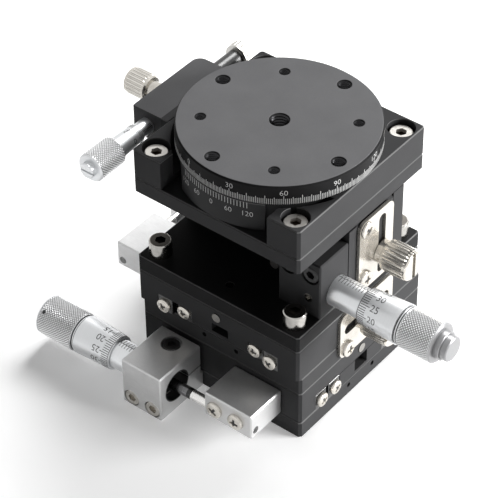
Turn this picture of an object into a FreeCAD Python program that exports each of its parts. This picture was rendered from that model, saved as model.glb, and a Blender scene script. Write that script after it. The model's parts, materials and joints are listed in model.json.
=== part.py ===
import FreeCAD, Part
import math
import os

# Four-axis micro stage: X and Y crossed-roller slides, a Z lift worked by a bell crank,
# and a rotary table with a fine adjuster. Millimetres, +Z up.
# The origin is the centre of the underside of the lowest plate.

# Plates
plate_side = 60.0
edge_break = 0.4
corner_break = 0.8
mount_spacing = 50.0
bench_screw_bore = 3.3

# Linear stages X and Y: travel is local x, width is local y, height is local z
stage_height = 18.0
base_thick = 6.0
table_thick = 6.0
run_gap = 0.2
block_half = 10.6
channel_half = 3.1
channel_floor = 7.2
rail_width = 5.4
rail_gap = 1.2
rail_length = 56.0
roller_dia = 2.38
roller_length = 2.2
roller_clear = 0.012
roller_pitch = 6.0
cage_thick = 0.6
cage_height = 5.0
cage_length = 45.0
cage_window = 2.6
cage_window_height = 3.9
y_rest = 1.4

# Screws
seat_clear = 0.02
screw_room = 0.5
through = 1.0
pan_head_dia = 5.4
pan_head_high = 1.3
pan_rim_share = 0.5
pan_top_share = 0.6
pan_thread = 3.0
rail_screw_long = 6.0
plate_screw_long = 6.0
m4_dia = 4.0
m4_head_dia = 7.0
m4_head_high = 4.0
m4_hex = 3.0
m4_clear = 0.25
m4_head_room = 0.3
head_edge = 0.3
m3_dia = 3.0
m3_head_dia = 5.5
m3_head_high = 3.0
m3_hex = 2.5
m3_clear = 0.1
hex_depth_share = 0.5
washer_thick = 1.0
stack_screw_deep = 7.0
stack_thread_deep = 9.0
stop_thread_deep = 5.0

# Spring between base and table
spring_dia = 3.6
spring_wire = 0.5
spring_overlap = 0.2
spring_z = 9.4
spring_hook_x = 22.0
hook_pin_dia = 1.4
hook_pin_sunk = 2.5
hook_pin_stand = 3.4
end_pin_dia = 3.0
end_pin_long = 6.0
end_pin_proud = 0.3
end_pin_z = 15.0
base_end_hole_dia = 1.6
base_end_hole_y = 6.0
base_end_hole_z = 3.8
base_end_hole_deep = 3.0

# Lock plate and lock knob
lock_plate_long = 26.0
lock_plate_low = 1.2
lock_plate_high = 17.9
lock_plate_thick = 1.0
lock_plate_x = -0.8
lock_plate_corner = 2.5
lock_screw_x = 9.4
lock_screw_z = 3.8
lock_slot_long = 21.8
lock_slot_wide = 3.4
lock_slot_z = 11.4
knob_stem_dia = 3.0
knob_stem_sunk = 6.0
knob_collar_dia = 7.5
knob_collar_long = 2.0
knob_dia = 9.4
knob_long = 9.5
knob_slot_wide = 1.4
knob_slot_deep = 2.0
knob_gap = 0.1
knob_edge = 0.4
turn_clear = 0.05

# Micrometer heads of X, Y and Z
mic_axis_y = -42.3
mic_axis_z = 9.5
sleeve_dia = 9.5
sleeve_bore = 3.6
spindle_dia = 3.5
spindle_stub_dia = 2.4
spindle_stub_long = 4.0
spindle_back_gap = 0.05
spindle_tip = -0.6
spindle_end_gap = 0.1
sleeve_show = 7.5
sleeve_in_thimble = 12.0
thimble_front_dia = 11.2
thimble_grip_dia = 12.6
thimble_knurl_dia = 13.0
thimble_cone_long = 14.7
thimble_ring_long = 1.2
thimble_long = 28.7
thimble_bore = 9.7
thimble_floor = 6.0
thimble_front_edge = 0.2
thimble_end_edge = 0.6
tip_gap = 0.05

# Block that holds the X and Y micrometers
mic_block_x = -6.8
mic_block_long = 15.0
mic_block_back = 20.0
mic_block_low = 0.2
mic_block_high = 17.3
mic_block_relief = 1.3
mic_block_bore = 10.0
mic_block_bore_deep = 5.2
mic_block_screw_x = 4.0
mic_block_screw_z = 3.3
mic_block_screw_dia = 2.5
mic_block_screw_deep = 6.0
counterbore_dia = 5.8
counterbore_deep = 3.2
clamp_screw_y = -35.6
clamp_counterbore = 6.4
clamp_screw_long = 9.0
clamp_slit = 0.6

# Block on the table that the spindle pushes
stop_block_x = 5.5
stop_block_long = 17.5
stop_block_out = 14.5
stop_block_low = 7.0
stop_block_high = 16.0
stop_pin_dia = 3.4
stop_pin_sunk = 2.0
stop_screw_xs = (9.5, 17.4)
stop_screw_z = 11.3
stop_screw_long = 19.5
stop_hole_dia = 2.5
stop_hole_deep = 3.4

# Z axis, in the frame of the plate that carries it
z_plate_thick = 5.5
z_stage_long = 23.9
z_wall_thick = 3.5
z_wall_half = 29.9
z_stage_back = -2.7
z_moving_wall_thick = 5.0
z_moving_lift = 0.4
z_gap_above = 24.5
z_top_thick = 5.5
z_small_hole_dia = 2.8
z_small_hole_y = -23.6
z_small_hole_deep = 4.0
z_lock_slot_drop = 0.2
z_lock_low = -1.9
z_lock_high = 24.1
z_lock_front = -2.5
z_lock_back = 14.0
z_lock_knob_z = 7.7
z_lock_screw_zs = (2.6, 21.3)
z_lock_screw_y = 3.1
z_lock_slot_middle = 10.8
z_roller_pitch = 4.5
z_cage_length = 14.0
z_spring_hook = 9.4

# Pillar, Z micrometer and bell crank
pillar_inner = 14.9
pillar_outer = 29.9
pillar_front = -19.7
pillar_high = 20.2
pillar_screw_x = 22.3
pillar_screw_half = 3.9
pillar_screw_z = 15.2
pillar_counterbore = 6.3
pillar_screw_long = 16.0
set_screw_x = 25.6
set_screw_long = 2.8
set_screw_sunk = 0.1
set_screw_socket = 1.5
set_screw_socket_deep = 1.2
pillar_thread_deep = 6.0
z_mic_y = -11.9
z_mic_z = 6.4
z_thimble_x = 40.7
z_thimble_front_dia = 11.0
z_thimble_cone_long = 14.3
z_thimble_knurl_dia = 12.8
z_sleeve_in_thimble = 10.3
z_thimble_long = 25.7
z_neck_long = 1.9
z_neck_dia = 9.0
z_cap_dia = 7.8
z_cap_long = 2.1
z_tip_x = 11.06
crank_x = 5.5
crank_z = 19.5
crank_arm = 13.1
crank_thick = 6.0
crank_hub = 4.0
crank_ball = 1.5
crank_roller = 2.5
crank_arm_root = 2.6
crank_arm_end = 1.1
crank_pin_dia = 3.0
crank_pin_cap = 5.0
crank_pin_sunk = 2.9
crank_pin_cap_thick = 0.8
crank_side_gap = 0.1
crank_half_swing = 17.785
pad_left = -9.4
pad_right = -5.4
pad_gap = 0.06

# Rotary axis
rot_height = 10.0
rot_floor = 2.0
rot_pocket = 26.8
rot_wall_outer = 28.6
rot_opening_left = -19.5
rot_opening_right = 18.8
rot_relief = 31.2
rot_relief_front = -12.0
rot_bore = 18.0
rot_head_sunk = 1.5
rot_counterbore = 8.5
rot_window_lap = 2.0
vernier_outer = 30.0
vernier_low = 0.4
vernier_high = 9.9
vernier_angle = 60.0
table_dia = 60.0
table_gap = 0.3
table_high = 6.2
table_break = 0.5
table_turn = -11.1
table_m4_ring = 50.0
table_m4_bore = 3.3
table_m3_ring = 45.25
table_m3_bore = 2.5
table_m6_bore = 5.0
table_m6_deep = 12.0
hub_dia = 23.9
ring_bore = 24.0
ring_flange = 26.3
ring_low = 2.05
ring_high = 9.0
ring_spigot_low = 0.2
ring_spigot_clear = 0.05
retainer_dia = 29.6
retainer_thick = 1.1
retainer_low = 0.3
retainer_room = 0.4
arm_half = 4.0
arm_low = 2.6
arm_high = 8.0
arm_short = 2.0

# Block of the fine adjuster
side_pad = 2.5
fine_front = -14.0
fine_back = 16.0
fine_wide = 10.5
fine_corner = 3.0
fine_wall = 1.5
fine_window = 8.5
fine_floor = 2.0
fine_roof = 1.5
fine_slot_half = 5.6
fine_axis_in = 5.2
fine_slot_room = 0.2
plunger_cap_gap = 0.2
fine_axis_z = 5.0
fine_sleeve_dia = 5.0
fine_sleeve_bore = 2.6
fine_spindle_dia = 2.5
fine_stub_dia = 1.8
fine_sleeve_show = 4.8
fine_sleeve_in = 6.0
fine_thimble_front = 6.0
fine_thimble_grip = 6.6
fine_thimble_bore = 5.2
fine_cone_long = 9.9
fine_knurl_dia = 9.3
fine_knurl_long = 10.7
fine_end_dia = 5.0
fine_end_long = 1.6
plunger_dia = 5.5
plunger_out = 11.5
plunger_cap_dia = 8.0
plunger_cap_long = 3.5
plunger_pin_dia = 2.5
plunger_pin_long = 10.0
plunger_bore = 2.6
plunger_bore_end = 20.0
clamp_stem_dia = 3.0
clamp_stem_tip = 12.2
clamp_neck_dia = 5.5
clamp_neck_gap = 0.5
clamp_neck_long = 4.5
clamp_knob_long = 8.0
clamp_knob_dia = 8.0

# Values that follow
half = plate_side / 2
mount_half = mount_spacing / 2
table_low = stage_height - table_thick
block_high = table_low - run_gap
rail_outer = block_half + rail_width
moving_inner = rail_outer + rail_gap
leg_inner = moving_inner + rail_width
leg_low = base_thick + run_gap
groove_y = rail_outer + rail_gap / 2
groove_z = (base_thick + block_high) / 2
groove_reach = (roller_dia / 2 + roller_clear) * math.sqrt(2)
mic_block_far = mic_block_x - mic_block_long
mic_block_front = -half - mic_block_back
thimble_front = mic_block_far - sleeve_show
thimble_back = thimble_front - thimble_long
sleeve_inner_end = mic_block_x - mic_block_bore_deep
z_base_z = 2 * stage_height
z_deck = z_base_z + z_plate_thick
z_top_z = z_deck + z_gap_above
rot_z = z_top_z + z_top_thick
z_thimble_back = z_thimble_x + z_thimble_long
fine_out = half + side_pad + fine_wide
fine_axis_x = fine_axis_in - fine_out
arm_out = fine_out - arm_short
clamp_neck_out = fine_out + clamp_neck_gap
clamp_knob_start = clamp_neck_out + clamp_neck_long
origin = FreeCAD.Vector(0, 0, 0)
along_x = FreeCAD.Vector(1, 0, 0)
along_y = FreeCAD.Vector(0, 1, 0)
along_z = FreeCAD.Vector(0, 0, 1)


# Helpers

def vec(x, y, z):
    return FreeCAD.Vector(x, y, z)


def slab(x0, x1, y0, y1, z0, z1):
    return Part.makeBox(x1 - x0, y1 - y0, z1 - z0, vec(x0, y0, z0))


def rod(radius, start, end):
    line = end - start
    return Part.makeCylinder(radius, line.Length, start, line)


def turned(outline, start, direction):
    # a revolved piece: outline is (distance along the axis, radius) from the axis and back to it
    points = [vec(radius, 0, along) for along, radius in outline]
    face = Part.Face(Part.makePolygon(points + [points[0]]))
    solid = face.revolve(origin, along_z, 360)
    solid.Placement = FreeCAD.Placement(start, FreeCAD.Rotation(along_z, direction))
    return solid


def outer_edges(shape):
    # straight edges that lie on two outer planes of the shape
    box = shape.BoundBox
    planes = ((0, box.XMin), (0, box.XMax), (1, box.YMin), (1, box.YMax), (2, box.ZMin), (2, box.ZMax))
    found = []
    for edge in shape.Edges:
        points = [vertex.Point for vertex in edge.Vertexes]
        touched = sum(all(abs(p[axis] - level) < 0.001 for p in points) for axis, level in planes)
        if len(points) == 2 and touched == 2:
            found.append(edge)
    return found


def broken(shape):
    return shape.makeChamfer(edge_break, outer_edges(shape))


def runs_along(edge, direction):
    return abs(edge.tangentAt(edge.FirstParameter).dot(direction)) > 0.99


def broken_plate(shape):
    # the four upright corners are broken wider than the edges of the two faces
    upright = [edge for edge in outer_edges(shape) if runs_along(edge, along_z)]
    body = shape.makeChamfer(corner_break, upright)
    flat = [edge for edge in body.Edges if not runs_along(edge, along_z)]
    return body.makeChamfer(edge_break, flat)


def rounded_plate(low, high, corner, thick):
    # flat plate in local x and z with round corners, standing on y = 0
    plate = slab(low[0], high[0], 0, thick, low[1], high[1])
    corners = [edge for edge in plate.Edges if runs_along(edge, along_y)]
    return plate.makeFillet(corner, corners)


def slot_cut(centre, length, width, direction, depth):
    # a straight slot along local x, cut from its centre into a face
    reach = (length - width) / 2
    left = centre - along_x * reach
    right = centre + along_x * reach
    rise = along_z * (width / 2)
    cut = Part.makeCylinder(width / 2, depth, left, direction)
    cut = cut.fuse(Part.makeCylinder(width / 2, depth, right, direction))
    corners = [left - rise, right - rise, right + rise, left + rise, left - rise]
    return cut.fuse(Part.Face(Part.makePolygon(corners)).extrude(direction * depth))


def pan_screw(seat, outward, long, thread=pan_thread):
    # low domed head outside the seat, plain shank inside it
    head = pan_head_dia / 2
    shank = thread / 2
    outline = [(-long, 0), (-long, shank), (0, shank), (0, head), (pan_head_high * pan_rim_share, head)]
    outline += [(pan_head_high, head * pan_top_share), (pan_head_high, 0)]
    return turned(outline, seat, outward)


def socket_screw(seat, outward, long, thread, head_dia, head_high, hexagon):
    # cylinder head with a hexagon socket
    outline = [(-long, 0), (-long, thread / 2), (0, thread / 2), (0, head_dia / 2)]
    outline += [(head_high - head_edge, head_dia / 2), (head_high, head_dia / 2 - head_edge), (head_high, 0)]
    body = turned(outline, seat, outward)
    corner = hexagon / math.sqrt(3)
    points = [vec(corner * math.cos(math.radians(a)), corner * math.sin(math.radians(a)), 0)
              for a in range(0, 361, 60)]
    socket = Part.Face(Part.makePolygon(points)).extrude(along_z * head_high)
    lift = head_high * (1 - hex_depth_share)
    turn = FreeCAD.Rotation(along_z, outward)
    socket.Placement = FreeCAD.Placement(seat + outward * lift, turn)
    return body.cut(socket)


def thread_hole(seat, inward, long, thread):
    # hole that a shank fits, a little longer than the shank
    return Part.makeCylinder(thread / 2 + seat_clear, long + screw_room, seat, inward)


def placed(shape, placement):
    moved = shape.copy()
    moved.Placement = placement.multiply(moved.Placement)
    return moved


def group(solids):
    return Part.makeCompound(solids)


# Linear stage: the pieces that X, Y and Z share

def stage_base(length):
    # plate with a raised centre block and a channel for the spring
    reach = length / 2
    plate = slab(-reach, reach, -half, half, 0, base_thick)
    block = slab(-reach, reach, -block_half, block_half, base_thick, block_high)
    body = broken_plate(plate).fuse(block).removeSplitter()
    return body.cut(slab(-half, half, -channel_half, channel_half, channel_floor, stage_height))


def stage_table(length):
    # plate with two legs that hang beside the moving rails
    reach = length / 2
    body = broken_plate(slab(-reach, reach, -half, half, leg_low, stage_height))
    return body.cut(slab(-half, half, -leg_inner, leg_inner, 0, table_low))


def groove_prism(length, side):
    # square bar on its corner that cuts the V of both rails of one side
    corners = ((0, -groove_reach), (groove_reach, 0), (0, groove_reach), (-groove_reach, 0))
    points = [vec(-length, side * groove_y + dy, groove_z + dz) for dy, dz in corners]
    return Part.Face(Part.makePolygon(points + [points[0]])).extrude(along_x * (2 * length))


def rail(length, side, inner, low, high):
    ends = sorted((side * inner, side * (inner + rail_width)))
    bar = slab(-length / 2, length / 2, ends[0], ends[1], low, high)
    return bar.cut(groove_prism(length, side))


def fixed_rails(length):
    return [rail(length, side, block_half, base_thick, block_high) for side in (-1, 1)]


def moving_rails(length):
    return [rail(length, side, moving_inner, leg_low, table_low) for side in (-1, 1)]


def roller_cage(side, length, pitch):
    # strip with a window for each roller, and rollers that lean left and right in turn
    count = int(length / pitch)
    y = side * groove_y
    low = groove_z - cage_height / 2
    strip = slab(-length / 2, length / 2, y - cage_thick / 2, y + cage_thick / 2, low, low + cage_height)
    pieces = []
    for index in range(count):
        x = (index - (count - 1) / 2) * pitch
        window = slab(x - cage_window / 2, x + cage_window / 2, y - cage_thick, y + cage_thick,
                      groove_z - cage_window_height / 2, groove_z + cage_window_height / 2)
        strip = strip.cut(window)
        lean = 1 if index % 2 else -1
        axis = vec(0, 1, lean) / math.sqrt(2)
        start = vec(x, y, groove_z) - axis * (roller_length / 2)
        pieces.append(Part.makeCylinder(roller_dia / 2, roller_length, start, axis))
    return [strip] + pieces


def cages(length, pitch):
    return roller_cage(-1, length, pitch) + roller_cage(1, length, pitch)


def hook_pin(x, seat_z, direction):
    start = vec(x, 0, seat_z) - direction * hook_pin_sunk
    return rod(hook_pin_dia / 2, start, vec(x, 0, seat_z) + direction * hook_pin_stand)


def spring(first_x, last_x):
    # close-wound body with a ring at each end that hangs on a hook pin
    low = vec(0, 0, spring_z - spring_wire / 2)
    eyes = []
    for x in (first_x, last_x):
        eye = Part.makeCylinder(spring_dia / 2, spring_wire, low + along_x * x, along_z)
        hollow = Part.makeCylinder(spring_dia / 2 - spring_wire, spring_wire, low + along_x * x, along_z)
        eyes.append(eye.cut(hollow))
    inset = spring_dia / 2 - spring_overlap
    coil = rod(spring_dia / 2, vec(first_x + inset, 0, spring_z), vec(last_x - inset, 0, spring_z))
    inset = inset + spring_wire
    coil = coil.cut(rod(spring_dia / 2 - spring_wire, vec(first_x + inset, 0, spring_z),
                        vec(last_x - inset, 0, spring_z)))
    return coil.fuse(eyes)


def lock_plate(low, high, slot_x, slot_z, slot_long, screws):
    # thin slotted plate screwed to the base, standing on local y = half
    plate = rounded_plate(low, high, lock_plate_corner, lock_plate_thick)
    plate.translate(vec(0, half, 0))
    depth = lock_plate_thick + 2 * through
    plate = plate.cut(slot_cut(vec(slot_x, half - through, slot_z), slot_long, lock_slot_wide, along_y, depth))
    for x, z in screws:
        seat = vec(x, half + lock_plate_thick, z)
        plate = plate.cut(thread_hole(seat, -along_y, lock_plate_thick + through, pan_thread))
    return plate


def grip_outline(start, long, dia):
    # knurled grip with both edges broken, closed at its end
    outline = [(start, dia / 2 - knob_edge), (start + knob_edge, dia / 2), (start + long - knob_edge, dia / 2)]
    return outline + [(start + long, dia / 2 - knob_edge), (start + long, 0)]


def lock_knob(x, z):
    # stem, collar and straight-knurled head with a slot in its end
    start = half - knob_stem_sunk
    collar = half + lock_plate_thick + knob_gap
    head = collar + knob_collar_long
    outline = [(0, 0), (0, knob_stem_dia / 2), (collar - start, knob_stem_dia / 2)]
    outline += [(collar - start, knob_collar_dia / 2), (head - start, knob_collar_dia / 2)]
    outline += grip_outline(head - start, knob_long, knob_dia)
    knob = turned(outline, vec(x, start, z), along_y)
    end = head + knob_long
    slot = slab(x - knob_dia, x + knob_dia, end - knob_slot_deep, end + through,
                z - knob_slot_wide / 2, z + knob_slot_wide / 2)
    return knob.cut(slot)


def lock_stem_hole(x, z):
    radius = knob_stem_dia / 2 + turn_clear
    return rod(radius, vec(x, half + through, z), vec(x, half - knob_stem_sunk - through, z))


# X and Y stages

def rail_end_screws(ys):
    screws = []
    for end in (-1, 1):
        for y in ys:
            seat = vec(end * rail_length / 2, y, groove_z)
            screws.append(pan_screw(seat, along_x * end, rail_screw_long))
    return screws


def rail_end_holes(shapes, ys):
    # each rail end takes the shank of its screw
    holes = []
    for end in (-1, 1):
        for y in ys:
            seat = vec(end * rail_length / 2, y, groove_z)
            holes.append(thread_hole(seat, along_x * -end, rail_screw_long, pan_thread))
    return [shape.cut(holes) for shape in shapes]


def fixed_screw_ys():
    return (-block_half - rail_width / 2, block_half + rail_width / 2)


def moving_screw_ys():
    return (-moving_inner - rail_width / 2, moving_inner + rail_width / 2)


def lock_screw_points():
    return [(lock_plate_x + side * lock_screw_x, lock_screw_z) for side in (-1, 1)]


def mic_block_screw_points():
    middle = (mic_block_x + mic_block_far) / 2
    return [(middle + side * mic_block_screw_x, mic_block_screw_z) for side in (-1, 1)]


def corner_points():
    return [(x, y) for x in (-mount_half, mount_half) for y in (-mount_half, mount_half)]


def base_plate(stands_on_table):
    body = stage_base(plate_side)
    cuts = [thread_hole(vec(-spring_hook_x, 0, channel_floor), -along_z, hook_pin_sunk, hook_pin_dia)]
    for x, y in corner_points():
        if stands_on_table:
            cuts.append(rod(m4_dia / 2 + m4_clear, vec(x, y, -through), vec(x, y, base_thick + through)))
            cuts.append(rod(m4_head_dia / 2 + m4_clear, vec(x, y, base_thick - m4_head_high - m4_head_room),
                            vec(x, y, base_thick + through)))
        else:
            cuts.append(rod(bench_screw_bore / 2, vec(x, y, -through), vec(x, y, base_thick + through)))
    for x, z in lock_screw_points():
        cuts.append(thread_hole(vec(x, half, z), -along_y, plate_screw_long, pan_thread))
    for x, z in mic_block_screw_points():
        cuts.append(thread_hole(vec(x, -half, z), along_y, mic_block_screw_deep, mic_block_screw_dia))
    for side in (-1, 1):
        for end in (-1, 1):
            start = vec(end * (half + through), side * base_end_hole_y, base_end_hole_z)
            stop = vec(end * (half - base_end_hole_deep), side * base_end_hole_y, base_end_hole_z)
            cuts.append(rod(base_end_hole_dia / 2, start, stop))
    return body.cut(cuts)


def base_fasteners(stands_on_table):
    screws = rail_end_screws(fixed_screw_ys())
    for x, z in lock_screw_points():
        screws.append(pan_screw(vec(x, half + lock_plate_thick, z), along_y,
                                plate_screw_long + lock_plate_thick))
    screws.append(hook_pin(-spring_hook_x, channel_floor, along_z))
    if stands_on_table:
        for x, y in corner_points():
            seat = vec(x, y, base_thick - m4_head_high - m4_head_room)
            screws.append(socket_screw(seat, along_z, stack_screw_deep, m4_dia, m4_head_dia, m4_head_high,
                                       m4_hex))
    return group(screws)


def mic_block():
    # foot on the base side, slit and clamped round the sleeve
    body = broken(slab(mic_block_far, mic_block_x, mic_block_front, -half, mic_block_low, mic_block_high))
    body = body.cut(slab(mic_block_far - through, mic_block_x + through, -half - mic_block_relief,
                         through - half, base_thick, stage_height))
    axis_start = vec(mic_block_far - through, mic_axis_y, mic_axis_z)
    axis_end = vec(mic_block_x + through, mic_axis_y, mic_axis_z)
    cuts = [rod(sleeve_dia / 2 + seat_clear, axis_start, axis_end)]
    cuts.append(rod(mic_block_bore / 2, vec(sleeve_inner_end, mic_axis_y, mic_axis_z), axis_end))
    cuts.append(slab(mic_block_far - through, mic_block_x + through, mic_axis_y, -half,
                     mic_axis_z - clamp_slit / 2, mic_axis_z + clamp_slit / 2))
    for x, z in mic_block_screw_points():
        cuts.append(rod(counterbore_dia / 2, vec(x, mic_block_front - through, z),
                        vec(x, mic_block_front + counterbore_deep, z)))
        cuts.append(rod(mic_block_screw_dia / 2 + seat_clear, vec(x, mic_block_front, z),
                        vec(x, through - half, z)))
    x = (mic_block_far + mic_block_x) / 2
    top = mic_block_high
    cuts.append(rod(clamp_counterbore / 2, vec(x, clamp_screw_y, top - counterbore_deep),
                    vec(x, clamp_screw_y, top + through)))
    cuts.append(rod(m3_dia / 2 + seat_clear, vec(x, clamp_screw_y, top),
                    vec(x, clamp_screw_y, top - counterbore_deep - clamp_screw_long - screw_room)))
    return body.cut(cuts)


def mic_block_screws():
    screws = []
    for x, z in mic_block_screw_points():
        seat = vec(x, mic_block_front + counterbore_deep, z)
        long = mic_block_back - counterbore_deep + mic_block_screw_deep
        screws.append(socket_screw(seat, -along_y, long, mic_block_screw_dia, m3_head_dia, m3_head_high,
                                   m3_hex))
    x = (mic_block_far + mic_block_x) / 2
    seat = vec(x, clamp_screw_y, mic_block_high - counterbore_deep)
    screws.append(socket_screw(seat, along_z, clamp_screw_long, m3_dia, m3_head_dia, m3_head_high, m3_hex))
    return group(screws)


def sleeve():
    start = vec(thimble_front - sleeve_in_thimble, mic_axis_y, mic_axis_z)
    end = vec(sleeve_inner_end, mic_axis_y, mic_axis_z)
    return rod(sleeve_dia / 2, start, end).cut(rod(sleeve_bore / 2, start, end))


def thimble_form(front_dia, cone_long, grip_dia, knurl_dia, long, bore, stub_dia, end):
    # from the front edge at 0 back to the closed end, open at the front
    floor = long - thimble_floor
    stub = floor + spindle_stub_long
    groove = cone_long - thimble_ring_long
    outline = [(0, bore / 2), (0, front_dia / 2 - thimble_front_edge), (thimble_front_edge, front_dia / 2)]
    sunk = grip_dia / 2 - knob_edge
    outline += [(groove, grip_dia / 2), (groove, sunk), (cone_long, sunk)]
    outline += [(cone_long, knurl_dia / 2 - knob_edge), (cone_long + knob_edge, knurl_dia / 2)]
    outline += [(long - thimble_end_edge, knurl_dia / 2), (long, knurl_dia / 2 - thimble_end_edge)]
    outline += end + [(stub, 0), (stub, stub_dia / 2 + seat_clear)]
    outline += [(floor, stub_dia / 2 + seat_clear), (floor, bore / 2)]
    return outline


def spindle_form(stub_dia, dia, long):
    # stub that the thimble turns on, then the plain spindle with a broken tip
    start = spindle_end_gap - spindle_stub_long
    outline = [(start, 0), (start, stub_dia / 2), (0, stub_dia / 2), (0, dia / 2)]
    edge = thimble_front_edge
    return outline + [(long - edge, dia / 2), (long, dia / 2 - edge), (long, 0)]


def thimble():
    outline = thimble_form(thimble_front_dia, thimble_cone_long, thimble_grip_dia, thimble_knurl_dia,
                           thimble_long, thimble_bore, spindle_stub_dia, [(thimble_long, 0)])
    return turned(outline, vec(thimble_front, mic_axis_y, mic_axis_z), -along_x)


def spindle():
    floor = thimble_back + thimble_floor + spindle_back_gap
    outline = spindle_form(spindle_stub_dia, spindle_dia, spindle_tip - floor)
    return turned(outline, vec(floor, mic_axis_y, mic_axis_z), along_x)


def table_plate():
    body = stage_table(plate_side)
    cuts = [lock_stem_hole(0, lock_slot_z)]
    cuts.append(thread_hole(vec(spring_hook_x, 0, table_low), along_z, hook_pin_sunk, hook_pin_dia))
    for x, y in corner_points():
        cuts.append(thread_hole(vec(x, y, stage_height), -along_z, stack_thread_deep, m4_dia))
    for x in stop_screw_xs:
        cuts.append(thread_hole(vec(x, -half, stop_screw_z), along_y, stop_thread_deep, pan_thread))
    for end in (-1, 1):
        cuts.append(thread_hole(vec(end * half, 0, end_pin_z), along_x * -end, end_pin_long, end_pin_dia))
    return body.cut(cuts)


def table_fasteners():
    pieces = rail_end_screws(moving_screw_ys())
    block_face = -half - stop_block_out
    for x in stop_screw_xs:
        pieces.append(pan_screw(vec(x, block_face, stop_screw_z), -along_y, stop_screw_long))
    pieces.append(rod(stop_pin_dia / 2, vec(spindle_tip + tip_gap, mic_axis_y, mic_axis_z),
                      vec(stop_block_x + stop_pin_sunk, mic_axis_y, mic_axis_z)))
    pieces.append(hook_pin(spring_hook_x, table_low, -along_z))
    for end in (-1, 1):
        pieces.append(rod(end_pin_dia / 2, vec(end * (half - end_pin_long), 0, end_pin_z),
                          vec(end * (half + end_pin_proud), 0, end_pin_z)))
    return group(pieces)


def stop_block():
    front = -half - stop_block_out
    body = broken(slab(stop_block_x, stop_block_x + stop_block_long, front, -half,
                       stop_block_low, stop_block_high))
    cuts = []
    for x in stop_screw_xs:
        cuts.append(rod(pan_thread / 2 + m3_clear, vec(x, front - through, stop_screw_z),
                        vec(x, through - half, stop_screw_z)))
    depth = stop_pin_sunk - screw_room
    cuts.append(thread_hole(vec(stop_block_x, mic_axis_y, mic_axis_z), along_x, depth, stop_pin_dia))
    end = stop_block_x + stop_block_long
    cuts.append(rod(stop_hole_dia / 2, vec(end + through, mic_axis_y, mic_axis_z),
                    vec(end - stop_hole_deep, mic_axis_y, mic_axis_z)))
    return body.cut(cuts)


def linear_stage(axis, fixed, offset, stands_on_table):
    # the sixteen nodes of one slide, its table moved along by the offset
    low = (lock_plate_x - lock_plate_long / 2, lock_plate_low)
    high = (lock_plate_x + lock_plate_long / 2, lock_plate_high)
    plate = lock_plate(low, high, lock_plate_x, lock_slot_z, lock_slot_long, lock_screw_points())
    moving = fixed.multiply(FreeCAD.Placement(along_x * offset, FreeCAD.Rotation()))
    midway = fixed.multiply(FreeCAD.Placement(along_x * (offset / 2), FreeCAD.Rotation()))
    still = {
        "base": base_plate(stands_on_table),
        "fixed_rails": group(rail_end_holes(fixed_rails(rail_length), fixed_screw_ys())),
        "base_fasteners": base_fasteners(stands_on_table),
        "lock_plate": plate,
        "mic_block": mic_block(),
        "block_screws": mic_block_screws(),
        "sleeve": sleeve(),
        "spring": spring(-spring_hook_x, spring_hook_x + offset),
    }
    slides = {
        "spindle": spindle(),
        "thimble": thimble(),
        "table": table_plate(),
        "moving_rails": group(rail_end_holes(moving_rails(rail_length), moving_screw_ys())),
        "table_fasteners": table_fasteners(),
        "stop_block": stop_block(),
        "lock_knob": lock_knob(0, lock_slot_z),
    }
    nodes = {axis + "_" + name: placed(shape, fixed) for name, shape in still.items()}
    nodes.update({axis + "_" + name: placed(shape, moving) for name, shape in slides.items()})
    cage_pair = group(cages(cage_length, roller_pitch))
    nodes[axis + "_roller_cages"] = placed(cage_pair, midway)
    return nodes


# Z axis, in the frame of its base plate's top face

z_middle = z_stage_long / 2
z_turn = FreeCAD.Rotation(along_z, along_x, along_y, "XYZ")
z_stage = FreeCAD.Placement(FreeCAD.Vector(0, z_stage_back, z_middle), z_turn)
z_wall_front = z_stage_back - z_wall_thick
z_lock_slot_z = lock_slot_z - z_lock_slot_drop
crank_low_end = crank_z - crank_arm * math.sin(math.radians(crank_half_swing))
pad_low = crank_low_end + crank_roller + pad_gap


def z_base_plate():
    body = broken_plate(slab(-half, half, -half, half, -z_plate_thick, 0))
    bottom = vec(0, z_small_hole_y, -z_small_hole_deep)
    cuts = [rod(z_small_hole_dia / 2, bottom, vec(0, z_small_hole_y, through))]
    for x, y in corner_points():
        cuts.append(rod(m4_dia / 2 + m4_clear, vec(x, y, -z_plate_thick - through), vec(x, y, through)))
    return body.cut(cuts)


def pillar_screw_points():
    return [(pillar_screw_x + side * pillar_screw_half, pillar_screw_z) for side in (-1, 1)]


def z_socket_screws():
    # four stacking screws on spring washers, and the pillar's screws
    pieces = []
    for x, y in corner_points():
        washer = rod(m4_head_dia / 2, vec(x, y, 0), vec(x, y, washer_thick))
        bore = rod(m4_dia / 2 + m3_clear, vec(x, y, -through), vec(x, y, washer_thick + through))
        pieces.append(washer.cut(bore))
        grip = z_plate_thick + washer_thick + stack_screw_deep
        pieces.append(socket_screw(vec(x, y, washer_thick), along_z, grip, m4_dia, m4_head_dia, m4_head_high,
                                   m4_hex))
    for x, z in pillar_screw_points():
        seat = vec(x, pillar_front + counterbore_deep, z)
        pieces.append(socket_screw(seat, -along_y, pillar_screw_long, m3_dia, m3_head_dia, m3_head_high,
                                   m3_hex))
    grub_start = vec(set_screw_x, pillar_front + set_screw_sunk, z_mic_z)
    grub = Part.makeCylinder(m3_dia / 2, set_screw_long, grub_start, along_y)
    socket = Part.makeCylinder(set_screw_socket / 2, set_screw_socket_deep, grub_start, along_y)
    pieces.append(grub.cut(socket))
    return group(pieces)


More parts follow.
